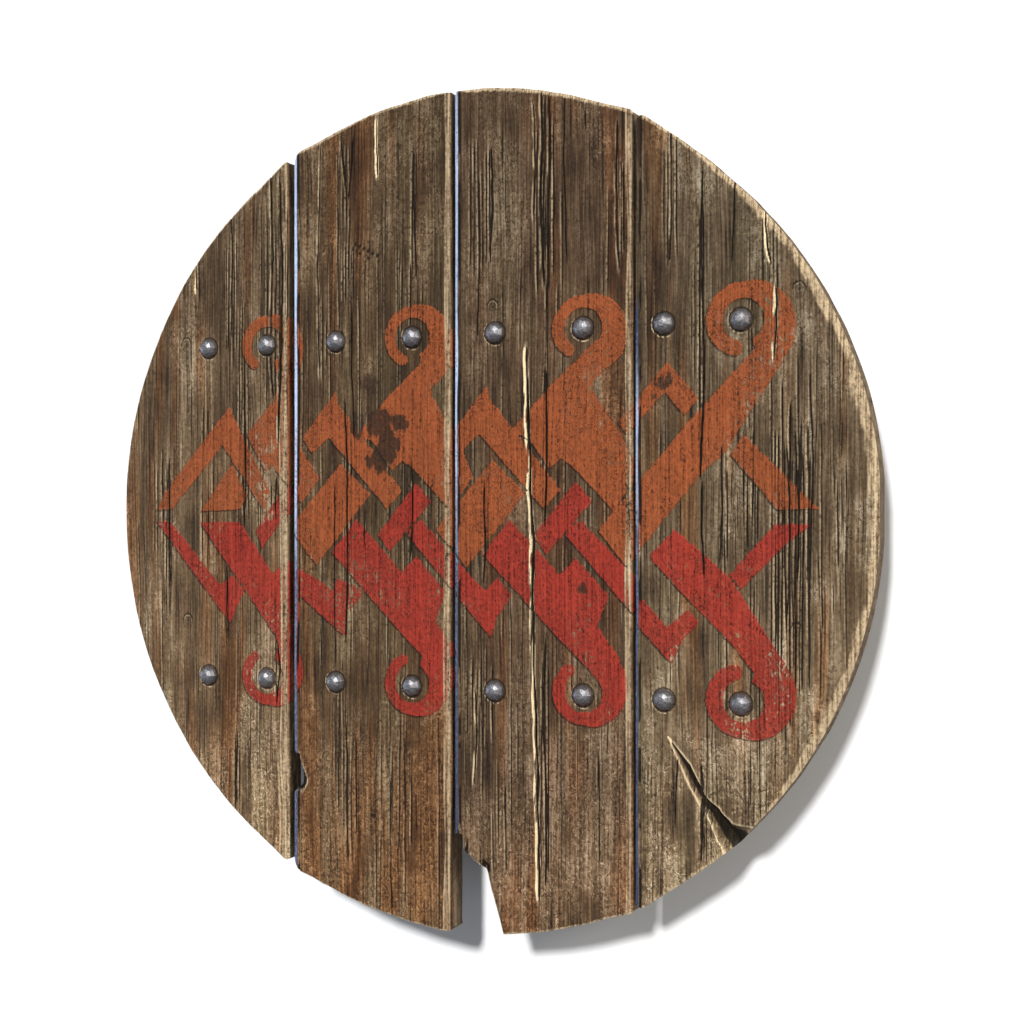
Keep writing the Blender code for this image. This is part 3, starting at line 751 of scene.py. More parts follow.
def worn(plank, x, y):
    """Depth and bareness of the worn joint edges and rim, their painted cool highlight and their dark line.
    """
    left, right = edges_of(plank)
    ragged = noise(x, y, 2.6, 24, plank.seed + 90) * 0.7 + noise(x, y, 1.5, 7, plank.seed + 91) * 0.3
    drop, bare, cool, dark = 0 * x, 0 * x, 0 * x, 0 * x
    if plank.right_wear:
        width = plank.right_wear * (0.75 + 0.5 * waver(y, 60, plank.seed + 92))
        share = np.clip(1 - (right - x) / width, 0.0, 1.0)
        drop = np.maximum(drop, 2.8 * share**1.2)
        band = step_between(share, 0.02, 0.12) * step_between(right - x, 0.4, 2.6)
        outer_thread = np.exp(-(((share - 0.12) / 0.09) ** 2))
        threads = np.maximum(outer_thread, np.exp(-(((share - 0.62) / 0.14) ** 2)))
        tan = 0.34 + 0.66 * threads + 0.8 * (ragged - 0.5)
        bare = np.maximum(bare, band * np.clip(tan, 0.0, 1.0))
    if plank.left_wear:
        width = plank.left_wear * (0.85 + 0.3 * waver(y, 45, plank.seed + 93))
        share = np.clip(1 - (x - left) / width, 0.0, 1.0)
        drop = np.maximum(drop, 2.6 * share**1.1)
        # Painted cool highlight on the bevel of the left edge.
        cool = np.maximum(cool, step_between(share, 0.12, 0.3))
        behind = np.abs(x - left - width - 0.9)
        drop = np.maximum(drop, 1.2 * step_between(-behind, -1.6, -0.3))
        dark = step_between(-behind, -1.9, -0.5) * step_between(ragged, 0.30, 0.55) * 0.8
    rim = rim_at(plank, x, y) - np.hypot(x, y)
    angle = np.degrees(np.arctan2(y, x))
    angle = np.where(angle < -90, angle + 360, angle)
    width = along(RIM_WORN, angle) * (0.65 + 0.7 * noise(angle, 0 * x, 7, 1, plank.seed + 94))
    share = np.clip(1 - rim / width, 0.0, 1.0)
    drop = np.maximum(drop, np.minimum(3.0, 0.55 * width) * share**1.3)
    band = step_between(share, 0.05, 0.2)
    bare = np.maximum(bare, band * step_between(share + 0.9 * (ragged - 0.5), 0.05, 0.4))
    return drop, bare, cool, dark


def broken(plank, x, y):
    """The split, the chip and the broken corner: depth, painted shade in split and chip, dark splinters,
    light lips.
    """
    drop, dark, lips = 0 * x, 0 * x, 0 * x
    if plank.node == "plank_right":
        px, py = x - SPLIT_TIP[0], y - SPLIT_TIP[1]
        s = px * SPLIT_ALONG[0] + py * SPLIT_ALONG[1]
        q = -px * SPLIT_ALONG[1] + py * SPLIT_ALONG[0]
        q = q + 1.6 * (noise(s, 0 * s, 7, 1, 3) - 0.5)
        left, right, floor = along(SPLIT_LEFT, s), along(SPLIT_RIGHT, s), along(SPLIT_FLOOR, s)
        from_left = (q - left) / np.maximum(floor - left, 0.4)
        from_right = (right - q) / np.maximum(right - floor, 0.4)
        fall = np.clip(np.minimum(from_left, from_right), 0.0, 1.0) * (s > 0)
        drop = np.maximum(drop, along(SPLIT_DROP, s) * fall**0.85)
        dim = np.interp(s, (30, 75), (0.50, 0.36))
        dark = np.maximum(dark, np.clip((fall - dim) / 0.3, 0.0, 1.0))
        edge = np.minimum(np.abs(q - left) + 0.4, np.abs(q - right))
        lips = np.maximum(lips, step_between(-edge, -1.7, -0.5) * (s > -2) * 1.45)
    if plank.node == "plank_mid_left":
        depth = inside(x, y, CHIP_OUTLINE)
        drop = np.maximum(drop, CHIP_DROP * step_between(depth, -0.2, 2.0))
        dark = np.maximum(dark, step_between(depth, 0.2, 1.4))
        lips = np.maximum(lips, step_between(-np.abs(depth + 0.7), -1.4, -0.4))
    if plank.node == "plank_mid_right":
        away = from_path(x, y, BREAK_EDGE)
        drop = np.maximum(drop, 2.4 * np.clip(1 - away / 2.6, 0.0, 1.0))
        splinter = step_between(-from_path(x, y, SPLINTERED_EDGE), -7.5, -3.0)
        splinter = splinter * step_between(noise(x, y, 2.4, 9, 17), 0.42, 0.6)
        drop = np.maximum(drop, 2.6 * splinter)
        dark = np.maximum(dark, 0.85 * splinter)
        lips = np.maximum(lips, step_between(-away, -1.6, -0.5) * 0.8)
    return drop, dark, lips


def relief(plank, x, y, rivets):
    """Everything that the face of a plank shows, as depth and as masks for its material."""
    rivet_y = max(ry for _, ry in rivets)
    orange, red = painted(x, y, rivet_y)
    coat = step_between(np.maximum(orange, red), -0.5, 1.0)
    depth = grain(plank, x, y)
    groove_depth, groove_dark, groove_highlight = grooved(plank, x, y)
    crack_depth, crack_dark, crack_lips = cracked(plank, x, y)
    mark_depth, mark_dark = scratched(x, y)
    wear_depth, wear, cool, wear_dark = worn(plank, x, y)
    break_depth, break_dark, break_lips = broken(plank, x, y)
    seat = np.min([np.hypot(x - rx, y - ry) for rx, ry in rivets], axis=0)
    calm = step_between(seat, *SEAT_EDGE)
    depth = depth * (0.25 + 0.75 * calm)
    cut = np.max([groove_depth * (1 - 0.5 * coat), crack_depth, mark_depth], axis=0) * calm
    surface = depth + cut + wear_depth + break_depth
    # The groove mask is painted shade in the grooves, cracks, split and chip, with the darkness of the
    # scratches and of the line behind each worn left edge.
    fine_dark = groove_dark * (1 - 0.55 * coat) * (1 - 0.5 * wear)
    dark = np.max([fine_dark, crack_dark, mark_dark, wear_dark], axis=0) * calm
    return {
        "depth": surface,
        "orange": orange,
        "red": red,
        # Where the paint lies just up and to the right, for the painted shadow beneath its lower left
        # edges.
        "under": np.max(painted(x + PAINT_SHADOW, y + PAINT_SHADOW, rivet_y), axis=0),
        "groove": np.maximum(dark, break_dark),
        # Painted highlight beside the fine grooves, off the paint and away from the rivets.
        "lip": groove_highlight * (1 - coat) * calm,
        "bare": np.max([wear, crack_lips * calm, break_lips], axis=0) * (1 - break_dark),
        # Painted cool highlight on the left edges, as strong by height as the plank's painted sheen.
        "cool": cool * along(plank.painted_sheen, y),
        "stain": stained(x, y),
    }


# Meshes


def activate(obj):
    bpy.ops.object.select_all(action="DESELECT")
    obj.select_set(True)
    bpy.context.view_layer.objects.active = obj


def apply_modifiers(obj):
    activate(obj)
    for modifier in list(obj.modifiers):
        bpy.ops.object.modifier_apply(modifier=modifier.name)


def places_of(mesh):
    flat = np.empty(len(mesh.vertices) * 3, dtype=np.float32)
    mesh.vertices.foreach_get("co", flat)
    return flat.reshape(-1, 3).astype(float)


def put_places(mesh, places):
    mesh.vertices.foreach_set("co", places.astype(np.float32).ravel())
    mesh.update()


def store(mesh, name, values):
    layer = mesh.attributes.new(name, "FLOAT", "POINT")
    layer.data.foreach_set("value", values.astype(np.float32))


def in_rows(kind):
    """The names of all nodes of one kind, row by row."""
    return [f"{kind}_{row}_{number}" for row in RIVET_ROWS for number in range(1, RIVETS_IN_ROW + 1)]


def middle_of(node):
    low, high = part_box(node)
    return (low.x + high.x) / 2, (low.y + high.y) / 2


def rivet_places():
    """The middle of every rivet in millimetres, from the frame."""
    return [(x / MM, y / MM) for x, y in map(middle_of, in_rows("rivet"))]


def chip_shift(plank, x, y):
    """Draws the first columns back behind the bite in the left edge."""
    if plank.node != "plank_mid_left":
        return 0 * x
    left, _ = edges_of(plank)
    return along(CHIP_BITE, y) * np.clip(1 - (x - left) / CHIP_BITE_REACH, 0.0, 1.0)


def flat_plank(plank):
    """The plank's face as a grid in its outline, with its sides drawn down and its back closed."""
    columns = columns_of(plank)
    rows = rows_of(plank)
    bpy.ops.object.select_all(action="DESELECT")
    bpy.ops.mesh.primitive_grid_add(x_subdivisions=len(columns) - 1, y_subdivisions=len(rows) - 1, size=2.0)
    obj = bpy.context.object
    obj.name = plank.node + "_wood"
    places = places_of(obj.data)
    column = np.rint((places[:, 0] + 1) / 2 * (len(columns) - 1)).astype(int)
    row = np.rint((places[:, 1] + 1) / 2 * (len(rows) - 1)).astype(int)
    x = columns[column]
    top, foot = end_of(plank, x, 1), end_of(plank, x, -1)
    y = foot + (top - foot) * rows[row]
    x = x + chip_shift(plank, x, y)
    put_places(obj.data, np.stack([x * MM, y * MM, 0 * x + PLANK_FACE], axis=1))
    bpy.ops.object.mode_set(mode="EDIT")
    bpy.ops.mesh.select_mode(type="EDGE")
    bpy.ops.mesh.select_all(action="DESELECT")
    bpy.ops.mesh.select_non_manifold(
        extend=False,
        use_wire=False,
        use_boundary=True,
        use_multi_face=False,
        use_non_contiguous=False,
        use_verts=False,
    )
    fall = (PLANK_BACK - PLANK_FACE) / WALL_LEVELS
    for _ in range(WALL_LEVELS):
        bpy.ops.mesh.extrude_region_move(TRANSFORM_OT_translate={"value": (0.0, 0.0, fall)})
    bpy.ops.mesh.edge_face_add()
    bpy.ops.mesh.select_all(action="SELECT")
    bpy.ops.mesh.normals_make_consistent(inside=False)
    bpy.ops.object.mode_set(mode="OBJECT")
    return obj


def weather_plank(plank, obj, rivets):
    """Presses the relief into the face, roughens the sides and stores the masks."""
    places = places_of(obj.data)
    x, y = places[:, 0] / MM, places[:, 1] / MM
    level = np.clip((PLANK_FACE - places[:, 2]) / (PLANK_FACE - PLANK_BACK), 0.0, 1.0)
    shown = relief(plank, x, y, rivets)
    drop = np.minimum(shown["depth"], PLANK_DEPTH - LEAST_THICKNESS)
    height = (PLANK_DEPTH - drop) * (1 - level)
    left, right = edges_of(plank)
    at_left = (x - left < 0.05) if plank.left_wear else np.zeros(x.shape, bool)
    at_right = (right - x < 0.05) if plank.right_wear else np.zeros(x.shape, bool)
    radius = np.hypot(x, y)
    away_x = np.where(at_left, -1.0, np.where(at_right, 1.0, x / radius))
    away_y = np.where(at_left | at_right, 0.0, y / radius)
    run = np.where(at_left | at_right, y, x)
    depth = level * PLANK_DEPTH
    hewn = 0.5 * noise(run, depth, 28, 5, plank.seed + 30)
    hewn = hewn + 0.5 * noise(run, depth, 7, 2.4, plank.seed + 31)
    if plank.node == "plank_mid_right":
        snapped = step_between(-from_path(x, y, BREAK_EDGE), -4.0, -0.5)
        hewn = hewn + snapped * 3.4 * noise(run, depth, 4.5, 30, plank.seed + 32)
    back_edge = 0.7 * step_between(level, 0.9, 1.0)
    draw_in = (hewn * step_between(level, 0.0, 0.3) + back_edge) * (level > 0)
    x = x - away_x * draw_in
    y = y - away_y * draw_in
    put_places(obj.data, np.stack([x * MM, y * MM, PLANK_BACK + height * MM], axis=1))
    run_over = PAINT_RUN_END * np.clip(level - PAINT_RUNS_DOWN, 0.0, 1.0)
    face = 1 - step_between(level, 0.0, 0.12)
    reach = PAINT_MASK_REACH
    for name in ("orange", "red"):
        store(obj.data, name, np.clip(shown[name] - run_over, -reach, reach))
    # Mask of the painted shadow beneath the lower left edges of the paint, kept off the walls.
    store(obj.data, "under", np.clip(shown["under"], -reach, reach) - reach * level)
    for name in ("groove", "lip", "stain"):
        store(obj.data, name, shown[name] * face)
    # Painted light on the upper half of each right wall, given the worn colour through the bare mask.
    painted_wall_light = 0.30 * step_between(-level, -0.5, -0.3) * at_right
    store(obj.data, "bare", np.maximum(shown["bare"] * face, painted_wall_light * (1 - face)))
    # The painted cool highlight ends at the top of the wall.
    store(obj.data, "cool", shown["cool"] * (1 - step_between(level, 0.0, 0.03)))
    store(obj.data, "side", level)


# Materials


class Signal:
    """A shader socket that takes part in sums with other sockets and numbers."""

    def __init__(self, shade, socket):
        self.shade = shade
        self.socket = socket

    def math(self, operation, first, second):
        return self.shade.make("ShaderNodeMath", {"operation": operation}, {0: first, 1: second})

    def __add__(self, other):
        return self.math("ADD", self, other)

    def __radd__(self, other):
        return self.math("ADD", other, self)

    def __sub__(self, other):
        return self.math("SUBTRACT", self, other)

    def __rsub__(self, other):
        return self.math("SUBTRACT", other, self)

    def __mul__(self, other):
        return self.math("MULTIPLY", self, other)

    def __rmul__(self, other):
        return self.math("MULTIPLY", other, self)

    def __abs__(self):
        return self.math("ABSOLUTE", self, 0.0)

    def root(self):
        return self.math("SQRT", self, 0.0)

    def largest(self, other):
        return self.math("MAXIMUM", self, other)

    def smallest(self, other):
        return self.math("MINIMUM", self, other)


class Shade:
    """A material being made, with its Principled shader and the makers of its other nodes."""

    def __init__(self, name):
        self.material = bpy.data.materials.new(name)
        self.material.use_nodes = True
        self.tree = self.material.node_tree
        self.shader = self.tree.nodes["Principled BSDF"]

    def make(self, kind, settings, inputs, output=0):
        """Any node: its settings, what goes into it, and the socket that comes out of it."""
        node = self.tree.nodes.new(kind)
        for name, value in settings.items():
            if name == "stops":
                for element, (place, colour) in zip(self.stops(node, len(value)), value):
                    element.position = place
                    element.color = (*colour, 1.0)
            else:
                setattr(node, name, value)
        for name, value in inputs.items():
            self.feed(node.inputs[name], value)
        return Signal(self, node.outputs[output])

    def stops(self, node, count):
        """The stops of a colour ramp, as many as are asked for."""
        elements = node.color_ramp.elements
        while len(elements) < count:
            elements.new(0.5)
        return elements

    def feed(self, socket, value):
        if isinstance(value, Signal):
            self.tree.links.new(value.socket, socket)
        elif socket.type == "RGBA":
            socket.default_value = (*value, 1.0)
        else:
            socket.default_value = value

    def places(self):
        return self.make("ShaderNodeTexCoord", {}, {}, "Object")

    def stretched(self, vector, scale, shift=(0.0, 0.0, 0.0)):
        return self.make("ShaderNodeMapping", {}, {"Vector": vector, "Scale": scale, "Location": shift})

    def noise(self, vector, scale=1.0, detail=3.0, roughness=0.55, distortion=0.0):
        inputs = {
            "Vector": vector,
            "Scale": scale,
            "Detail": detail,
            "Roughness": roughness,
            "Distortion": distortion,
        }
        return self.make("ShaderNodeTexNoise", {}, inputs)

    def part(self, vector, index):
        return self.make("ShaderNodeSeparateXYZ", {}, {0: vector}, index)

    def moved(self, vector, shift):
        return self.make("ShaderNodeVectorMath", {"operation": "ADD"}, {0: vector, 1: shift})

    def across(self, amount):
        return self.make("ShaderNodeCombineXYZ", {}, {0: amount})

    def away(self, x, y, place, stretch=1.0):
        """Distance in millimetres from a place, measured shorter along the grain when stretched."""
        dx = (x - place[0] * MM) * (1 / MM)
        dy = (y - place[1] * MM) * (1 / MM / stretch)
        return (dx * dx + dy * dy).root()

    def band(self, value, middle, core, reach):
        """One near a middle value, fading to nothing at its reach."""
        return self.between(abs(value - middle), reach, core)

    def ramp(self, value, stops):
        return self.make("ShaderNodeValToRGB", {"stops": stops}, {0: value})

    def grey(self, value):
        return self.make("ShaderNodeCombineColor", {}, {0: value, 1: value, 2: value})

    def signed(self, value, size):
        """The size with the sign of a value."""
        return self.make("ShaderNodeMath", {"operation": "SIGN"}, {0: value}) * size

    def mask(self, name):
        return self.make("ShaderNodeAttribute", {"attribute_name": name}, {}, "Fac")

    def between(self, value, low, high):
        settings = {"interpolation_type": "SMOOTHSTEP"}
        inputs = {"Value": value, "From Min": low, "From Max": high}
        return self.make("ShaderNodeMapRange", settings, inputs)

    def blend(self, factor, first, second, how="MIX"):
        settings = {"data_type": "RGBA", "blend_type": how}
        return self.make("ShaderNodeMix", settings, {0: factor, 6: first, 7: second}, 2)

    def bump(self, height, distance, strength=1.0):
        inputs = {"Height": height, "Distance": distance, "Strength": strength}
        return self.make("ShaderNodeBump", {}, inputs)

    def finish(self, colour, roughness, metallic=0.0, normal=None, specular=0.5):
        self.feed(self.shader.inputs["Base Color"], colour)
        self.feed(self.shader.inputs["Roughness"], roughness)
        self.feed(self.shader.inputs["Metallic"], metallic)
        self.feed(self.shader.inputs["Specular IOR Level"], specular)
        if normal:
            self.feed(self.shader.inputs["Normal"], normal)
        return self.material


def wood_stops(wood):
    return (
        (0.05, wood.groove),
        (0.34, wood.dark),
        (0.52, wood.middle),
        (0.68, wood.light),
        (0.95, wood.palest),
    )


class Grain(NamedTuple):
    """The noises along the grain that the wood and the paint of a plank share."""

    threads: Signal
    streaks: Signal
    patches: Signal
    specks: Signal
    curls: Signal
    hue: Signal


def grain_noises(shade, plank, places):
    """The noises of one plank, moved by its seed so that no two planks look alike."""
    shift = (plank.seed * 0.37, plank.seed * 0.71, 0.0)
    sway = shade.noise(shade.stretched(places, (16.0, 4.0, 16.0), shift), detail=1.0)
    bent = shade.moved(places, shade.across((sway - 0.5) * 0.012))
    return Grain(
        threads=shade.noise(shade.stretched(bent, (560.0, 13.0, 90.0), shift), detail=3.0, roughness=0.62),
        streaks=shade.noise(shade.stretched(bent, (120.0, 3.6, 40.0), shift), detail=3.0, roughness=0.6),
        patches=shade.noise(shade.stretched(places, (26.0, 12.0, 16.0), shift), detail=4.0, roughness=0.6),
        specks=shade.noise(shade.stretched(places, (440.0, 280.0, 300.0), shift), 1.0, 2.0, 0.7),
        curls=shade.noise(shade.stretched(places, (150.0, 120.0, 120.0), shift), 1.0, 3.0, 0.66, 1.5),
        hue=shade.noise(shade.stretched(bent, (44.0, 3.0, 20.0), shift), detail=3.0),
    )


def knot_marks(shade, plank, x, y, specks):
    """Darkness and light of the knots: an arc over each, a thin ring and a pit."""
    dark, light = 0.0, 0.0
    for place in plank.knots:
        ring = shade.away(x, y, place, 1.25) + 2.0 * (specks - 0.5)
        over = shade.between(y, (place[1] - 3) * MM, (place[1] + 2) * MM)
        arc = shade.band(ring, 5.4, 0.25, 1.1) * (0.25 + 0.75 * over)
        dark = arc.largest(shade.band(ring, 2.9, 0.1, 0.7) * 0.6).largest(dark)
        dark = dark.largest(shade.between(ring, 1.5, 0.8) * 0.8)
        light = (shade.band(ring, 4.1, 0.2, 0.9) * over * 0.7).largest(light)
    return dark, light


def rivet_marks(shade, x, y, rivets, specks):
    """Painted shade in the seat round each rivet and a painted highlight at its lower left, upper and lower
    row at once.
    """
    dark, light = 0.0, 0.0
    side = abs(y)
    for rx, ry in rivets:
        ring = shade.away(x, side, (rx, ry)) + 0.9 * (specks - 0.5)
        # Painted shade in the seat round the head.
        dark = shade.band(ring, 9.9, 0.3, 1.3).largest(dark)
        # A painted highlight on the lower left side of the ring only.
        lower_left = shade.between((x - rx * MM) + 0.8 * (y - shade.signed(y, ry * MM)), 0.001, -0.008)
        rubbed = shade.band(ring, 11.5, 0.1, 0.9) * shade.between(specks, 0.44, 0.54)
        light = (rubbed * lower_left).largest(light)
    return dark, light


def wood_tone(shade, plank, wood, grain, y):
    """Colour of the bare weathered wood of one plank."""
    foot = shade.between(y, -0.10, -0.27).largest(shade.between(y, 0.16, 0.32) * 0.45)
    scuffed = shade.between(grain.patches + 0.16 * foot, 0.49, 0.66)
    strokes = shade.band(grain.curls, 0.50, 0.005, 0.026) * shade.between(grain.specks, 0.36, 0.48)
    pecks = shade.band(grain.curls, 0.44, 0.008, 0.028) * shade.between(grain.specks, 0.58, 0.48)
    lines = shade.between(grain.threads, 0.40, 0.30)
    tone = 0.45 + 0.60 * (grain.streaks - 0.5) + 0.85 * (grain.threads - 0.5) + 1.00 * (grain.patches - 0.5)
    tone = tone + 0.34 * (grain.specks - 0.5) + (0.34 * strokes - 0.22 * pecks) * scuffed - 0.22 * lines
    tone = tone + 0.35 * (grain.curls - 0.5) * scuffed
    colour = shade.ramp(tone, wood_stops(wood))
    hue = grain.hue + 0.06 * plank.rust * shade.between(y, -0.10, -0.24)
    colour = shade.blend(shade.between(hue, 0.50, 0.66) * 0.8, colour, wood.russet, "MULTIPLY")
    colour = shade.blend(shade.between(hue, 0.46, 0.34) * 0.7, colour, wood.olive, "MULTIPLY")
    gain = plank.gain[0][1]
    for (low, low_gain), (high, high_gain) in zip(plank.gain, plank.gain[1:]):
        gain = gain + (high_gain - low_gain) * shade.between(y, low * MM, high * MM)
    colour = shade.blend(1.0, colour, shade.grey(gain), "MULTIPLY")
    return shade.blend(1.0, colour, plank.tint, "MULTIPLY"), tone


def plank_material(plank, rivets, wood, paint):
    """Weathered wood with the painted band, from the plank's masks and from noise along its grain."""
    shade = Shade(plank.node + " painted wood")
    places = shade.places()
    x, y = shade.part(places, 0), shade.part(places, 1)
    grain = grain_noises(shade, plank, places)
    specks, curls, threads = grain.specks, grain.curls, grain.threads
    groove, bare, lip = shade.mask("groove"), shade.mask("bare"), shade.mask("lip")
    cool, stain, side = shade.mask("cool"), shade.mask("stain"), shade.mask("side")
    colour, tone = wood_tone(shade, plank, wood, grain, y)
    wall_tone = 0.52 + 0.7 * (threads - 0.5) + 0.5 * (grain.streaks - 0.5) + 0.4 * (specks - 0.5)
    colour = shade.blend(shade.between(side, 0.02, 0.2), colour, shade.ramp(wall_tone, wood_stops(wood)))
    blotch = (stain + 0.9 * (specks - 0.5) + 1.6 * (curls - 0.5)) * shade.between(stain, 0.04, 0.2)
    colour = shade.blend(shade.between(blotch, 0.25, 0.7) * 0.85, colour, wood.stain)

    crackle = shade.band(curls, 0.49, 0.003, 0.016) * shade.between(grain.patches, 0.44, 0.54)
    chipped = curls * 0.62 + specks * 0.22 + threads * 0.16 + 0.42 * (grain.patches - 0.5)
    flakes = shade.between(chipped, 0.594, 0.616)
    slits = shade.between(threads * 0.5 + specks * 0.5, 0.430, 0.395) * shade.between(curls, 0.44, 0.52)
    sound = (1.0 - shade.between(groove + 0.4 * (specks - 0.5), 0.45, 0.85)) * (1.0 - flakes * 0.9)
    sound = sound * (1.0 - shade.between(bare, 0.3, 0.7)) * (1.0 - crackle * 0.8)
    sound = sound * (1.0 - shade.between(blotch, 0.35, 0.6) * 0.9)
    lighting = 1.0 + 1.3 * (threads - 0.5) + 1.1 * (curls - 0.5)
    lighting = lighting + 0.8 * (grain.patches - 0.5) + 0.9 * (specks - 0.5)
    ragged = 3.0 * (specks - 0.5) + 2.0 * (threads - 0.5) + 4.4 * (curls - 0.5)
    for name, coat in (("red", paint.lower), ("orange", paint.upper)):
        depth = shade.mask(name) + ragged
        covered = shade.between(depth, -0.2, 0.3) * sound * paint.cover
        tinted = shade.blend(1.0, coat, shade.grey(lighting), "MULTIPLY")
        colour = shade.blend(covered, colour, tinted)
    cover = shade.mask("red").largest(shade.mask("orange"))
    painted_here = shade.between(cover, -0.5, 0.5)
    uncovered = shade.between(cover + ragged * 0.6, 0.4, -0.3)
    # Painted shadow beneath the lower left edges of the paint.
    below = shade.between(shade.mask("under") + ragged * 0.6, -0.2, 0.5) * uncovered
    below = below * shade.between(curls, 0.40, 0.52)

    knot_dark, knot_light = knot_marks(shade, plank, x, y, specks)
    seat_shade, seat_highlight = rivet_marks(shade, x, y, rivets, specks)
    sharp = shade.between(bare, 1.0, 1.4)
    worn_tone = shade.between(threads + 0.5 * (specks - 0.5) + 0.4 * sharp, 0.34, 0.62)
    worn_colour = shade.blend(worn_tone, wood.worn_dark, wood.worn)
    worn_colour = shade.blend(sharp * 0.85, worn_colour, wood.lip)
    # The lip mask is the painted highlight beside the grooves.
    lit = lip * shade.between(specks, 0.34, 0.46)
    # Worn bare wood takes the worn colour, and so do the painted highlights by the rivets and the grooves
    # and the light rings of the knots.
    rubbed = bare.smallest(1.0).largest(seat_highlight).largest(knot_light * 0.5).largest(lit * 0.85)
    colour = shade.blend(rubbed * 0.94, colour, worn_colour)
    # Painted cool highlight on the left edges, blended from the dull to the bright painted sheen.
    gleam = shade.between(cool + 0.6 * (specks - 0.5), 0.15, 1.0)
    painted_sheen = shade.blend(gleam, wood.painted_sheen_dark, wood.painted_sheen)
    colour = shade.blend(shade.between(cool, 0.02, 0.14), colour, painted_sheen)
    pin_holes = shade.between(threads * 0.5 + specks * 0.5, 0.385, 0.345) * (1.0 - 0.35 * painted_here)
    # Darkness in the groove colour: painted shade in grooves, cracks, the split, the chip and the rivet
    # seats, the painted shadow beneath the paint's lower left edges, and dark crackle, pin holes, slits and
    # knots.
    darkness = shade.between(groove, 0.10, 0.55).largest(crackle * painted_here * 0.5)
    darkness = darkness.largest(pin_holes * 0.7).largest(below * 0.9)
    darkness = darkness.largest(slits * painted_here * 0.75)
    darkness = darkness.largest(knot_dark * 0.85).largest(seat_shade * 0.9)
    colour = shade.blend(darkness * 0.93, colour, wood.groove)

    height = 0.45 * threads + 0.40 * specks + 0.70 * curls + 0.6 * grain.streaks
    height = height - 0.30 * groove - 0.20 * crackle
    height = height + (0.34 * sound + 0.25 * specks - 0.3 * slits) * painted_here
    normal = shade.bump(height, 0.0015, 1.0)
    return shade.finish(colour, 0.80 - 0.12 * shade.between(tone, 0.5, 0.9), normal=normal, specular=0.18)


def board_material(name, dark, light, along_scale, seed):
    """Plain aged board for the back, with its grain along one axis."""
    shade = Shade(name)
    places = shade.places()
    shift = (seed * 0.41, seed * 0.83, 0.0)
    streaks = shade.noise(shade.stretched(places, along_scale, shift), detail=5.0, roughness=0.62)
    broad_scale = tuple(value * 0.16 for value in along_scale)
    broad = shade.noise(shade.stretched(places, broad_scale, shift), detail=3.0)
    specks = shade.noise(shade.stretched(places, (380.0, 380.0, 380.0), shift), detail=2.0)
    tone = 0.62 * streaks + 0.38 * broad + 0.15 * (specks - 0.5)
    colour = shade.blend(shade.between(tone, 0.34, 0.66), dark, light)
    groove = 1.0 - shade.between(streaks, 0.30, 0.42)
    colour = shade.blend(groove * 0.7, colour, tuple(0.35 * value for value in dark))
    colour = shade.blend(shade.mask("bare") * 0.6, colour, tuple(min(1.0, 1.7 * value) for value in light))
    normal = shade.bump(streaks + 0.25 * specks, 0.0014, 0.8)
    return shade.finish(colour, 0.86 - 0.25 * shade.mask("bare"), normal=normal, specular=0.3)


def steel_material(metal):
    """Dulled steel with hammer marks, darker and rusty in patches."""
    shade = Shade("dulled steel")
    places = shade.places()
    dents = shade.noise(shade.stretched(places, (330.0, 330.0, 330.0)), detail=2.0, roughness=0.5)
    grime = shade.noise(shade.stretched(places, (900.0, 900.0, 900.0)), detail=4.0, roughness=0.65)
    colour = shade.blend(shade.between(grime, 0.28, 0.60), metal.steel_dark, metal.steel)
    colour = shade.blend(shade.between(dents, 0.60, 0.72) * 0.45, colour, metal.rust)
    normal = shade.bump(dents + 0.2 * grime, 0.0002, 0.4)
    return shade.finish(colour, 0.38 + 0.22 * grime, metallic=0.9, normal=normal)


def iron_material(metal):
    """Dark iron with rust, for the roves behind."""
    shade = Shade("rusted iron")
    places = shade.places()
    blotches = shade.noise(shade.stretched(places, (260.0, 260.0, 260.0)), detail=5.0, roughness=0.7)
    rusted = shade.between(blotches, 0.42, 0.62)
    colour = shade.blend(rusted, metal.iron, metal.rust)
    normal = shade.bump(blotches, 0.0006, 0.8)
    return shade.finish(colour, 0.5 + 0.3 * blotches, metallic=0.85 - 0.7 * rusted, normal=normal)


# Pieces


def settle(obj, nodes):
    """Hands a finished piece to the frame."""
    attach(obj, BODY)
    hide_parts(*nodes)


def smooth(obj, degrees):
    activate(obj)
    bpy.ops.object.shade_smooth_by_angle(angle=math.radians(degrees))


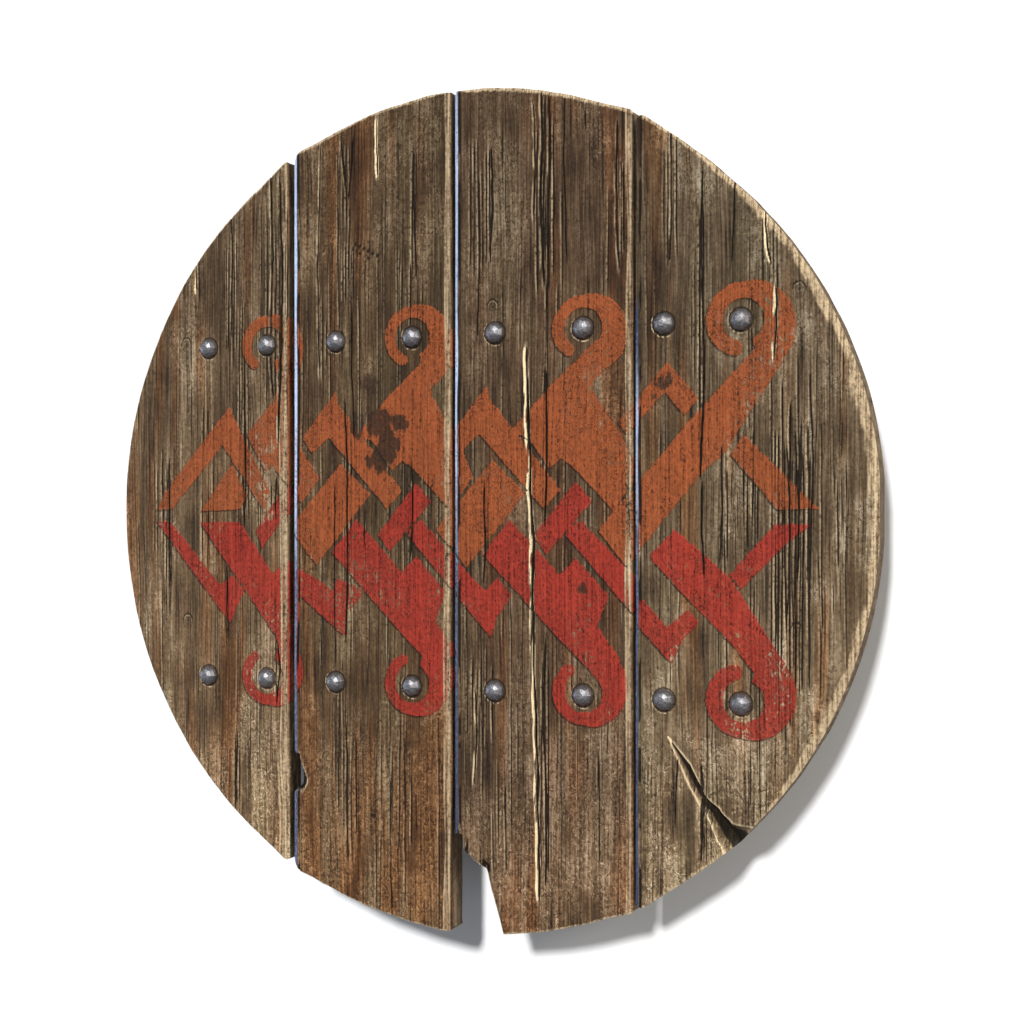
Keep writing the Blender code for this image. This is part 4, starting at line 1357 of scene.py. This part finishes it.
def weathered_board(node, name, mesh_size, axes, wear, seed):
    """A copy of a CAD board, remeshed finely, worn at its edges and raised along its grain."""
    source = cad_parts[node]
    obj = source.copy()
    obj.data = source.data.copy()
    obj.name = name
    bpy.context.scene.collection.objects.link(obj)
    obj.parent = None
    for key in list(obj.keys()):
        del obj[key]
    activate(obj)
    bpy.ops.object.mode_set(mode="EDIT")
    bpy.ops.mesh.select_all(action="SELECT")
    bpy.ops.mesh.remove_doubles(threshold=0.00001)
    bpy.ops.object.mode_set(mode="OBJECT")
    remesh = obj.modifiers.new("fine", "REMESH")
    remesh.mode = "VOXEL"
    remesh.voxel_size = mesh_size
    soften = obj.modifiers.new("soften", "SMOOTH")
    soften.factor = 0.5
    soften.iterations = 3
    apply_modifiers(obj)
    places = places_of(obj.data) / MM
    normals = np.empty(len(obj.data.vertices) * 3, dtype=np.float32)
    obj.data.vertices.foreach_get("normal", normals)
    normals = normals.reshape(-1, 3).astype(float)
    low, high = (np.array(corner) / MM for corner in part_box(node))
    edge = np.sort(np.minimum(places - low, high - places), axis=1)[:, 1]
    long_way, cross_way = axes
    run, across = places[:, long_way], places[:, cross_way] + 0.7 * places[:, 2]
    lines = 1 - np.abs(noise(across, run, 5.5, 190, seed) * 2 - 1)
    sunk = 1.1 * step_between(lines, 0.82, 0.97) + 0.6 * noise(across, run, 2.4, 45, seed + 1)
    rounding = wear * np.clip(1 - edge / 4.0, 0.0, 1.0) ** 2
    sunk = sunk + rounding * (0.4 + 1.2 * noise(run, across, 22, 14, seed + 2))
    put_places(obj.data, np.clip(places - normals * sunk[:, None], low, high) * MM)
    patchy = step_between(noise(run, across, 14, 6, seed + 3), 0.3, 0.7)
    store(obj.data, "bare", step_between(-edge, -4.5, -0.8) * patchy)
    obj.data.materials.clear()
    return obj


def turned_rivet(low, high):
    """One rivet, head to tail, from an eight-sided disc extruded and drawn in or out ring by ring."""
    head_height = (high.z - PLANK_FACE) / MM
    head_radius = (high.x - low.x) / 2 / MM
    rings = [(head_radius * out, high.z / MM - head_height * (1 - up)) for out, up in HEAD_PROFILE]
    rings.append((SHANK_RADIUS, rings[-1][1]))
    rings.append((SHANK_RADIUS, low.z / MM + TAIL_HEIGHT))
    rings += [(TAIL_RADIUS * out, low.z / MM + TAIL_HEIGHT * (1 - down)) for out, down in TAIL_PROFILE]
    bpy.ops.object.select_all(action="DESELECT")
    radius, height = rings[0]
    bpy.ops.mesh.primitive_circle_add(vertices=RIVET_SIDES, radius=radius * MM, fill_type="NGON")
    obj = bpy.context.object
    bpy.ops.object.mode_set(mode="EDIT")
    bpy.ops.mesh.select_all(action="SELECT")
    bpy.ops.transform.translate(value=(0.0, 0.0, height * MM))
    for next_radius, next_height in rings[1:]:
        fall = (next_height - height) * MM
        bpy.ops.mesh.extrude_region_move(TRANSFORM_OT_translate={"value": (0.0, 0.0, fall)})
        grow = next_radius / radius
        bpy.ops.transform.resize(value=(grow, grow, 1.0), center_override=(0.0, 0.0, next_height * MM))
        radius, height = next_radius, next_height
    bpy.ops.mesh.select_all(action="SELECT")
    bpy.ops.mesh.normals_make_consistent(inside=False)
    bpy.ops.object.mode_set(mode="OBJECT")
    return obj


def finish_rivet(obj, name, middle, turn, seed):
    """Dents one rivet, rounds its facets a little and puts it in its place."""
    obj.name = name
    random = np.random.default_rng(seed)
    places = places_of(obj.data)
    head = places[:, 2] > PLANK_FACE
    places[head, :2] += random.uniform(-RIVET_DENT, RIVET_DENT, (head.sum(), 2)) * MM
    places[head, 2] -= random.uniform(0.0, RIVET_DENT, head.sum()) * MM
    put_places(obj.data, places)
    bevel = obj.modifiers.new("rounded facets", "BEVEL")
    bevel.width = FACET_ROUNDING * MM
    bevel.segments = 2
    bevel.limit_method = "ANGLE"
    bevel.angle_limit = math.radians(FACET_LEAST_ANGLE)
    apply_modifiers(obj)
    obj.data.transform(Matrix.Translation((middle[0], middle[1], 0.0)) @ Matrix.Rotation(turn, 4, "Z"))
    obj.data.update()


# Settings


def colour_property(name, description, default):
    """A colour that a user may change."""
    return bpy.props.FloatVectorProperty(
        name=name, description=description, subtype="COLOR", default=default
    )


class SHIELD_PG_wood(bpy.types.PropertyGroup):
    """Colours of the planks, from their grooves to their worn edges, and of the boards behind."""

    # The groove colour is the darkest tone of the wood and the near-black painted shade in grooves, cracks,
    # the split, the chip and the rivet seats, and the painted shadow beneath the paint's edges.
    groove: colour_property("Groove", "Bottom of grooves and cracks", (0.009, 0.006, 0.0035))
    dark: colour_property("Dark", "Dark weathered wood", (0.050, 0.030, 0.0150))
    middle: colour_property("Middle", "Weathered wood", (0.105, 0.067, 0.0350))
    light: colour_property("Light", "Light weathered wood", (0.185, 0.132, 0.0800))
    palest: colour_property("Palest", "Raised, rubbed wood", (0.40, 0.31, 0.205))
    russet: colour_property("Russet", "Tint of the warm streaks", (1.06, 0.72, 0.48))
    olive: colour_property("Olive", "Tint of the dull streaks", (0.84, 0.92, 0.86))
    stain: colour_property("Stain", "Dark stains", (0.026, 0.0135, 0.0075))
    # The worn colours are the bare wood of worn edges, and also paint the highlights by the rivets and
    # grooves and the painted light on the upper right walls.
    worn: colour_property("Worn edge", "Bare wood on the worn edges", (0.55, 0.42, 0.262))
    worn_dark: colour_property("Worn edge, dark", "Threads in the bare wood", (0.17, 0.112, 0.062))
    lip: colour_property("Lip", "Sharp lips of cracks and splits", (0.95, 0.74, 0.45))
    # Colours of the painted cool highlight on the left edges of the planks, brightest and dullest.
    painted_sheen: colour_property("Painted sheen", "Brightest left edges", (0.55, 0.66, 0.88))
    painted_sheen_dark: colour_property("Painted sheen, dark", "Dullest left edges", (0.050, 0.062, 0.115))
    batten_dark: colour_property("Batten, dark", "Dark streaks of the battens", (0.040, 0.028, 0.018))
    batten_light: colour_property("Batten, light", "Light streaks of the battens", (0.150, 0.108, 0.066))
    grip_dark: colour_property("Grip, dark", "Dark streaks of the grip", (0.055, 0.036, 0.021))
    grip_light: colour_property("Grip, light", "Light streaks of the grip", (0.205, 0.140, 0.080))


class SHIELD_PG_paint(bpy.types.PropertyGroup):
    """Colours of the painted band."""

    upper: colour_property("Upper", "Paint of the upper half", (0.268, 0.066, 0.0195))
    lower: colour_property("Lower", "Paint of the lower half", (0.285, 0.0265, 0.0155))
    cover: bpy.props.FloatProperty(
        name="Cover",
        description="How much of the wood the paint hides",
        subtype="FACTOR",
        default=0.93,
        min=0.0,
        max=1.0,
    )


class SHIELD_PG_metal(bpy.types.PropertyGroup):
    """Colours of the rivets and roves."""

    steel: colour_property("Steel", "Clean steel of the rivets", (0.28, 0.275, 0.29))
    steel_dark: colour_property("Dull steel", "Dull steel of the rivets", (0.08, 0.078, 0.082))
    iron: colour_property("Iron", "Iron of the roves", (0.06, 0.055, 0.055))
    rust: colour_property("Rust", "Rust on steel and iron", (0.12, 0.05, 0.025))


class SHIELD_PG_stage(bpy.types.PropertyGroup):
    """Floor, light and camera."""

    floor: colour_property("Floor", "Colour of the floor", (0.88, 0.88, 0.88))
    key: bpy.props.FloatProperty(
        name="Key light", description="Strength of the main light", default=3.55
    )
    softness: bpy.props.FloatProperty(
        name="Softness",
        description="Apparent size of the main light",
        subtype="ANGLE",
        default=math.radians(7.0),
    )
    warm: bpy.props.FloatProperty(
        name="Warm light", description="Power, from the right", subtype="POWER", default=36.0
    )
    cool: bpy.props.FloatProperty(
        name="Cool light", description="Power, from the left", subtype="POWER", default=18.0
    )
    lens: bpy.props.FloatProperty(
        name="Lens", description="Focal length", unit="CAMERA", default=55.97
    )
    lean: bpy.props.FloatProperty(
        name="Lean",
        description="Angle between the view and straight down",
        subtype="ANGLE",
        default=math.radians(25.8),
    )
    distance: bpy.props.FloatProperty(
        name="Distance",
        description="From the camera to the face, along the view",
        subtype="DISTANCE",
        default=1.3988,
    )


# Operators


class SHIELD_OT_planks(bpy.types.Operator):
    """Add the four weathered planks with their painted band"""

    bl_idname = "shield.planks"
    bl_label = "Add planks"

    def execute(self, context):
        rivets = rivet_places()
        for plank in PLANKS:
            obj = flat_plank(plank)
            weather_plank(plank, obj, rivets)
            left, right = edges_of(plank)
            own = [(rx, ry) for rx, ry in rivets if left < rx < right and ry > 0]
            material = plank_material(plank, own, context.scene.shield_wood, context.scene.shield_paint)
            obj.data.materials.append(material)
            smooth(obj, 50.0)
            settle(obj, [plank.node])
        return {"FINISHED"}


class SHIELD_OT_battens(bpy.types.Operator):
    """Add the two cross battens behind the planks"""

    bl_idname = "shield.battens"
    bl_label = "Add battens"

    def execute(self, context):
        wood = context.scene.shield_wood
        dark, light = wood.batten_dark, wood.batten_light
        material = board_material("batten board", dark, light, BATTEN_GRAIN, 3)
        for seed, row in zip((200, 210), RIVET_ROWS):
            node = f"batten_{row}"
            obj = weathered_board(node, f"{node}_wood", BATTEN_MESH, BATTEN_AXES, BATTEN_WEAR, seed)
            obj.data.materials.append(material)
            smooth(obj, 60.0)
            settle(obj, [node])
        return {"FINISHED"}


class SHIELD_OT_grip(bpy.types.Operator):
    """Add the board grip across the back"""

    bl_idname = "shield.grip"
    bl_label = "Add grip"

    def execute(self, context):
        wood = context.scene.shield_wood
        dark, light = wood.grip_dark, wood.grip_light
        material = board_material("grip board", dark, light, GRIP_GRAIN, 5)
        obj = weathered_board("grip", "grip_wood", GRIP_MESH, GRIP_AXES, GRIP_WEAR, 240)
        obj.data.materials.append(material)
        smooth(obj, 60.0)
        settle(obj, ["grip"])
        return {"FINISHED"}


class SHIELD_OT_rivets(bpy.types.Operator):
    """Add the sixteen rivets with faceted heads"""

    bl_idname = "shield.rivets"
    bl_label = "Add rivets"

    def execute(self, context):
        material = steel_material(context.scene.shield_metal)
        for seed, node in enumerate(in_rows("rivet"), 301):
            obj = turned_rivet(*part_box(node))
            turn = math.radians(360.0 / RIVET_SIDES) * ((seed * 0.618) % 1.0)
            finish_rivet(obj, node + "_steel", middle_of(node), turn, seed)
            obj.data.materials.append(material)
            smooth(obj, 12.0)
            settle(obj, [node])
        return {"FINISHED"}


class SHIELD_OT_roves(bpy.types.Operator):
    """Give the roves behind the battens their rusted iron"""

    bl_idname = "shield.roves"
    bl_label = "Finish roves"

    def execute(self, context):
        material = iron_material(context.scene.shield_metal)
        for node in in_rows("rove"):
            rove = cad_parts[node]
            rove.data.materials.clear()
            rove.data.materials.append(material)
        return {"FINISHED"}


class SHIELD_OT_stage(bpy.types.Operator):
    """Add the floor, the lights and the camera"""

    bl_idname = "shield.stage"
    bl_label = "Add stage"

    def execute(self, context):
        stage = context.scene.shield_stage
        bpy.ops.object.select_all(action="DESELECT")
        bpy.ops.mesh.primitive_plane_add(size=FLOOR_SIZE)
        floor = context.object
        floor.name = "floor"
        shade = Shade("pale floor")
        grey = shade.noise(shade.places(), scale=3.0, detail=2.0)
        low = tuple(0.985 * value for value in stage.floor)
        material = shade.finish(shade.blend(grey, low, stage.floor), 0.9, specular=0.1)
        floor.data.materials.append(material)
        self.add_world(context)
        self.add_key(context, stage)
        self.add_side_light(context, "warm light", stage.warm, *WARM_LIGHT)
        self.add_side_light(context, "cool light", stage.cool, *COOL_LIGHT)
        self.add_camera(context, stage)
        return {"FINISHED"}

    def add_world(self, context):
        world = bpy.data.worlds.new("soft room")
        world.use_nodes = True
        background = world.node_tree.nodes["Background"]
        background.inputs["Color"].default_value = ROOM_COLOUR
        background.inputs["Strength"].default_value = ROOM_STRENGTH
        context.scene.world = world

    def add_key(self, context, stage):
        sun = bpy.data.lights.new("key light", "SUN")
        sun.energy = stage.key
        sun.angle = stage.softness
        obj = bpy.data.objects.new("key light", sun)
        obj.location = KEY_PLACE
        obj.rotation_euler = (-obj.location).to_track_quat("-Z", "Y").to_euler()
        context.scene.collection.objects.link(obj)

    def add_side_light(self, context, name, power, place, width, colour):
        light = bpy.data.lights.new(name, "AREA")
        light.shape = "DISK"
        light.size = width
        light.energy = power
        light.color = colour
        obj = bpy.data.objects.new(name, light)
        obj.location = place
        obj.rotation_euler = (-Vector(place)).to_track_quat("-Z", "Y").to_euler()
        context.scene.collection.objects.link(obj)

    def add_camera(self, context, stage):
        camera = bpy.data.cameras.new("camera")
        camera.lens = stage.lens
        camera.sensor_width = SENSOR_WIDTH
        obj = bpy.data.objects.new("camera", camera)
        back = Vector((math.sin(stage.lean), 0.0, math.cos(stage.lean)))
        obj.location = Vector(CAMERA_AIM) + back * stage.distance
        obj.rotation_euler = (0.0, stage.lean, 0.0)
        context.scene.collection.objects.link(obj)
        context.scene.camera = obj
        context.scene.view_settings.view_transform = "Standard"


# Panel


class SHIELD_PT_panel(bpy.types.Panel):
    """Settings and buttons for each group of pieces and for the stage"""

    bl_idname = "SHIELD_PT_panel"
    bl_label = "Round plank shield"
    bl_space_type = "VIEW_3D"
    bl_region_type = "UI"
    bl_category = "Shield"

    def draw(self, context):
        layout = self.layout
        for group in GROUPS:
            settings = getattr(context.scene, group)
            box = layout.box()
            for name in settings.__annotations__:
                box.prop(settings, name)
        for operator in OPERATORS:
            layout.operator(operator.bl_idname)


OPERATORS = (
    SHIELD_OT_planks,
    SHIELD_OT_battens,
    SHIELD_OT_grip,
    SHIELD_OT_rivets,
    SHIELD_OT_roves,
    SHIELD_OT_stage,
)
GROUPS = {
    "shield_wood": SHIELD_PG_wood,
    "shield_paint": SHIELD_PG_paint,
    "shield_metal": SHIELD_PG_metal,
    "shield_stage": SHIELD_PG_stage,
}


def register():
    for group in GROUPS.values():
        bpy.utils.register_class(group)
    for operator in OPERATORS:
        bpy.utils.register_class(operator)
    bpy.utils.register_class(SHIELD_PT_panel)
    for name, group in GROUPS.items():
        setattr(bpy.types.Scene, name, bpy.props.PointerProperty(type=group))


def unregister():
    for name in GROUPS:
        delattr(bpy.types.Scene, name)
    bpy.utils.unregister_class(SHIELD_PT_panel)
    for operator in reversed(OPERATORS):
        bpy.utils.unregister_class(operator)
    for group in reversed(list(GROUPS.values())):
        bpy.utils.unregister_class(group)


def main():
    register()
    bpy.ops.shield.planks()
    bpy.ops.shield.battens()
    bpy.ops.shield.grip()
    bpy.ops.shield.rivets()
    bpy.ops.shield.roves()
    bpy.ops.shield.stage()


if __name__ == "__main__":
    main()
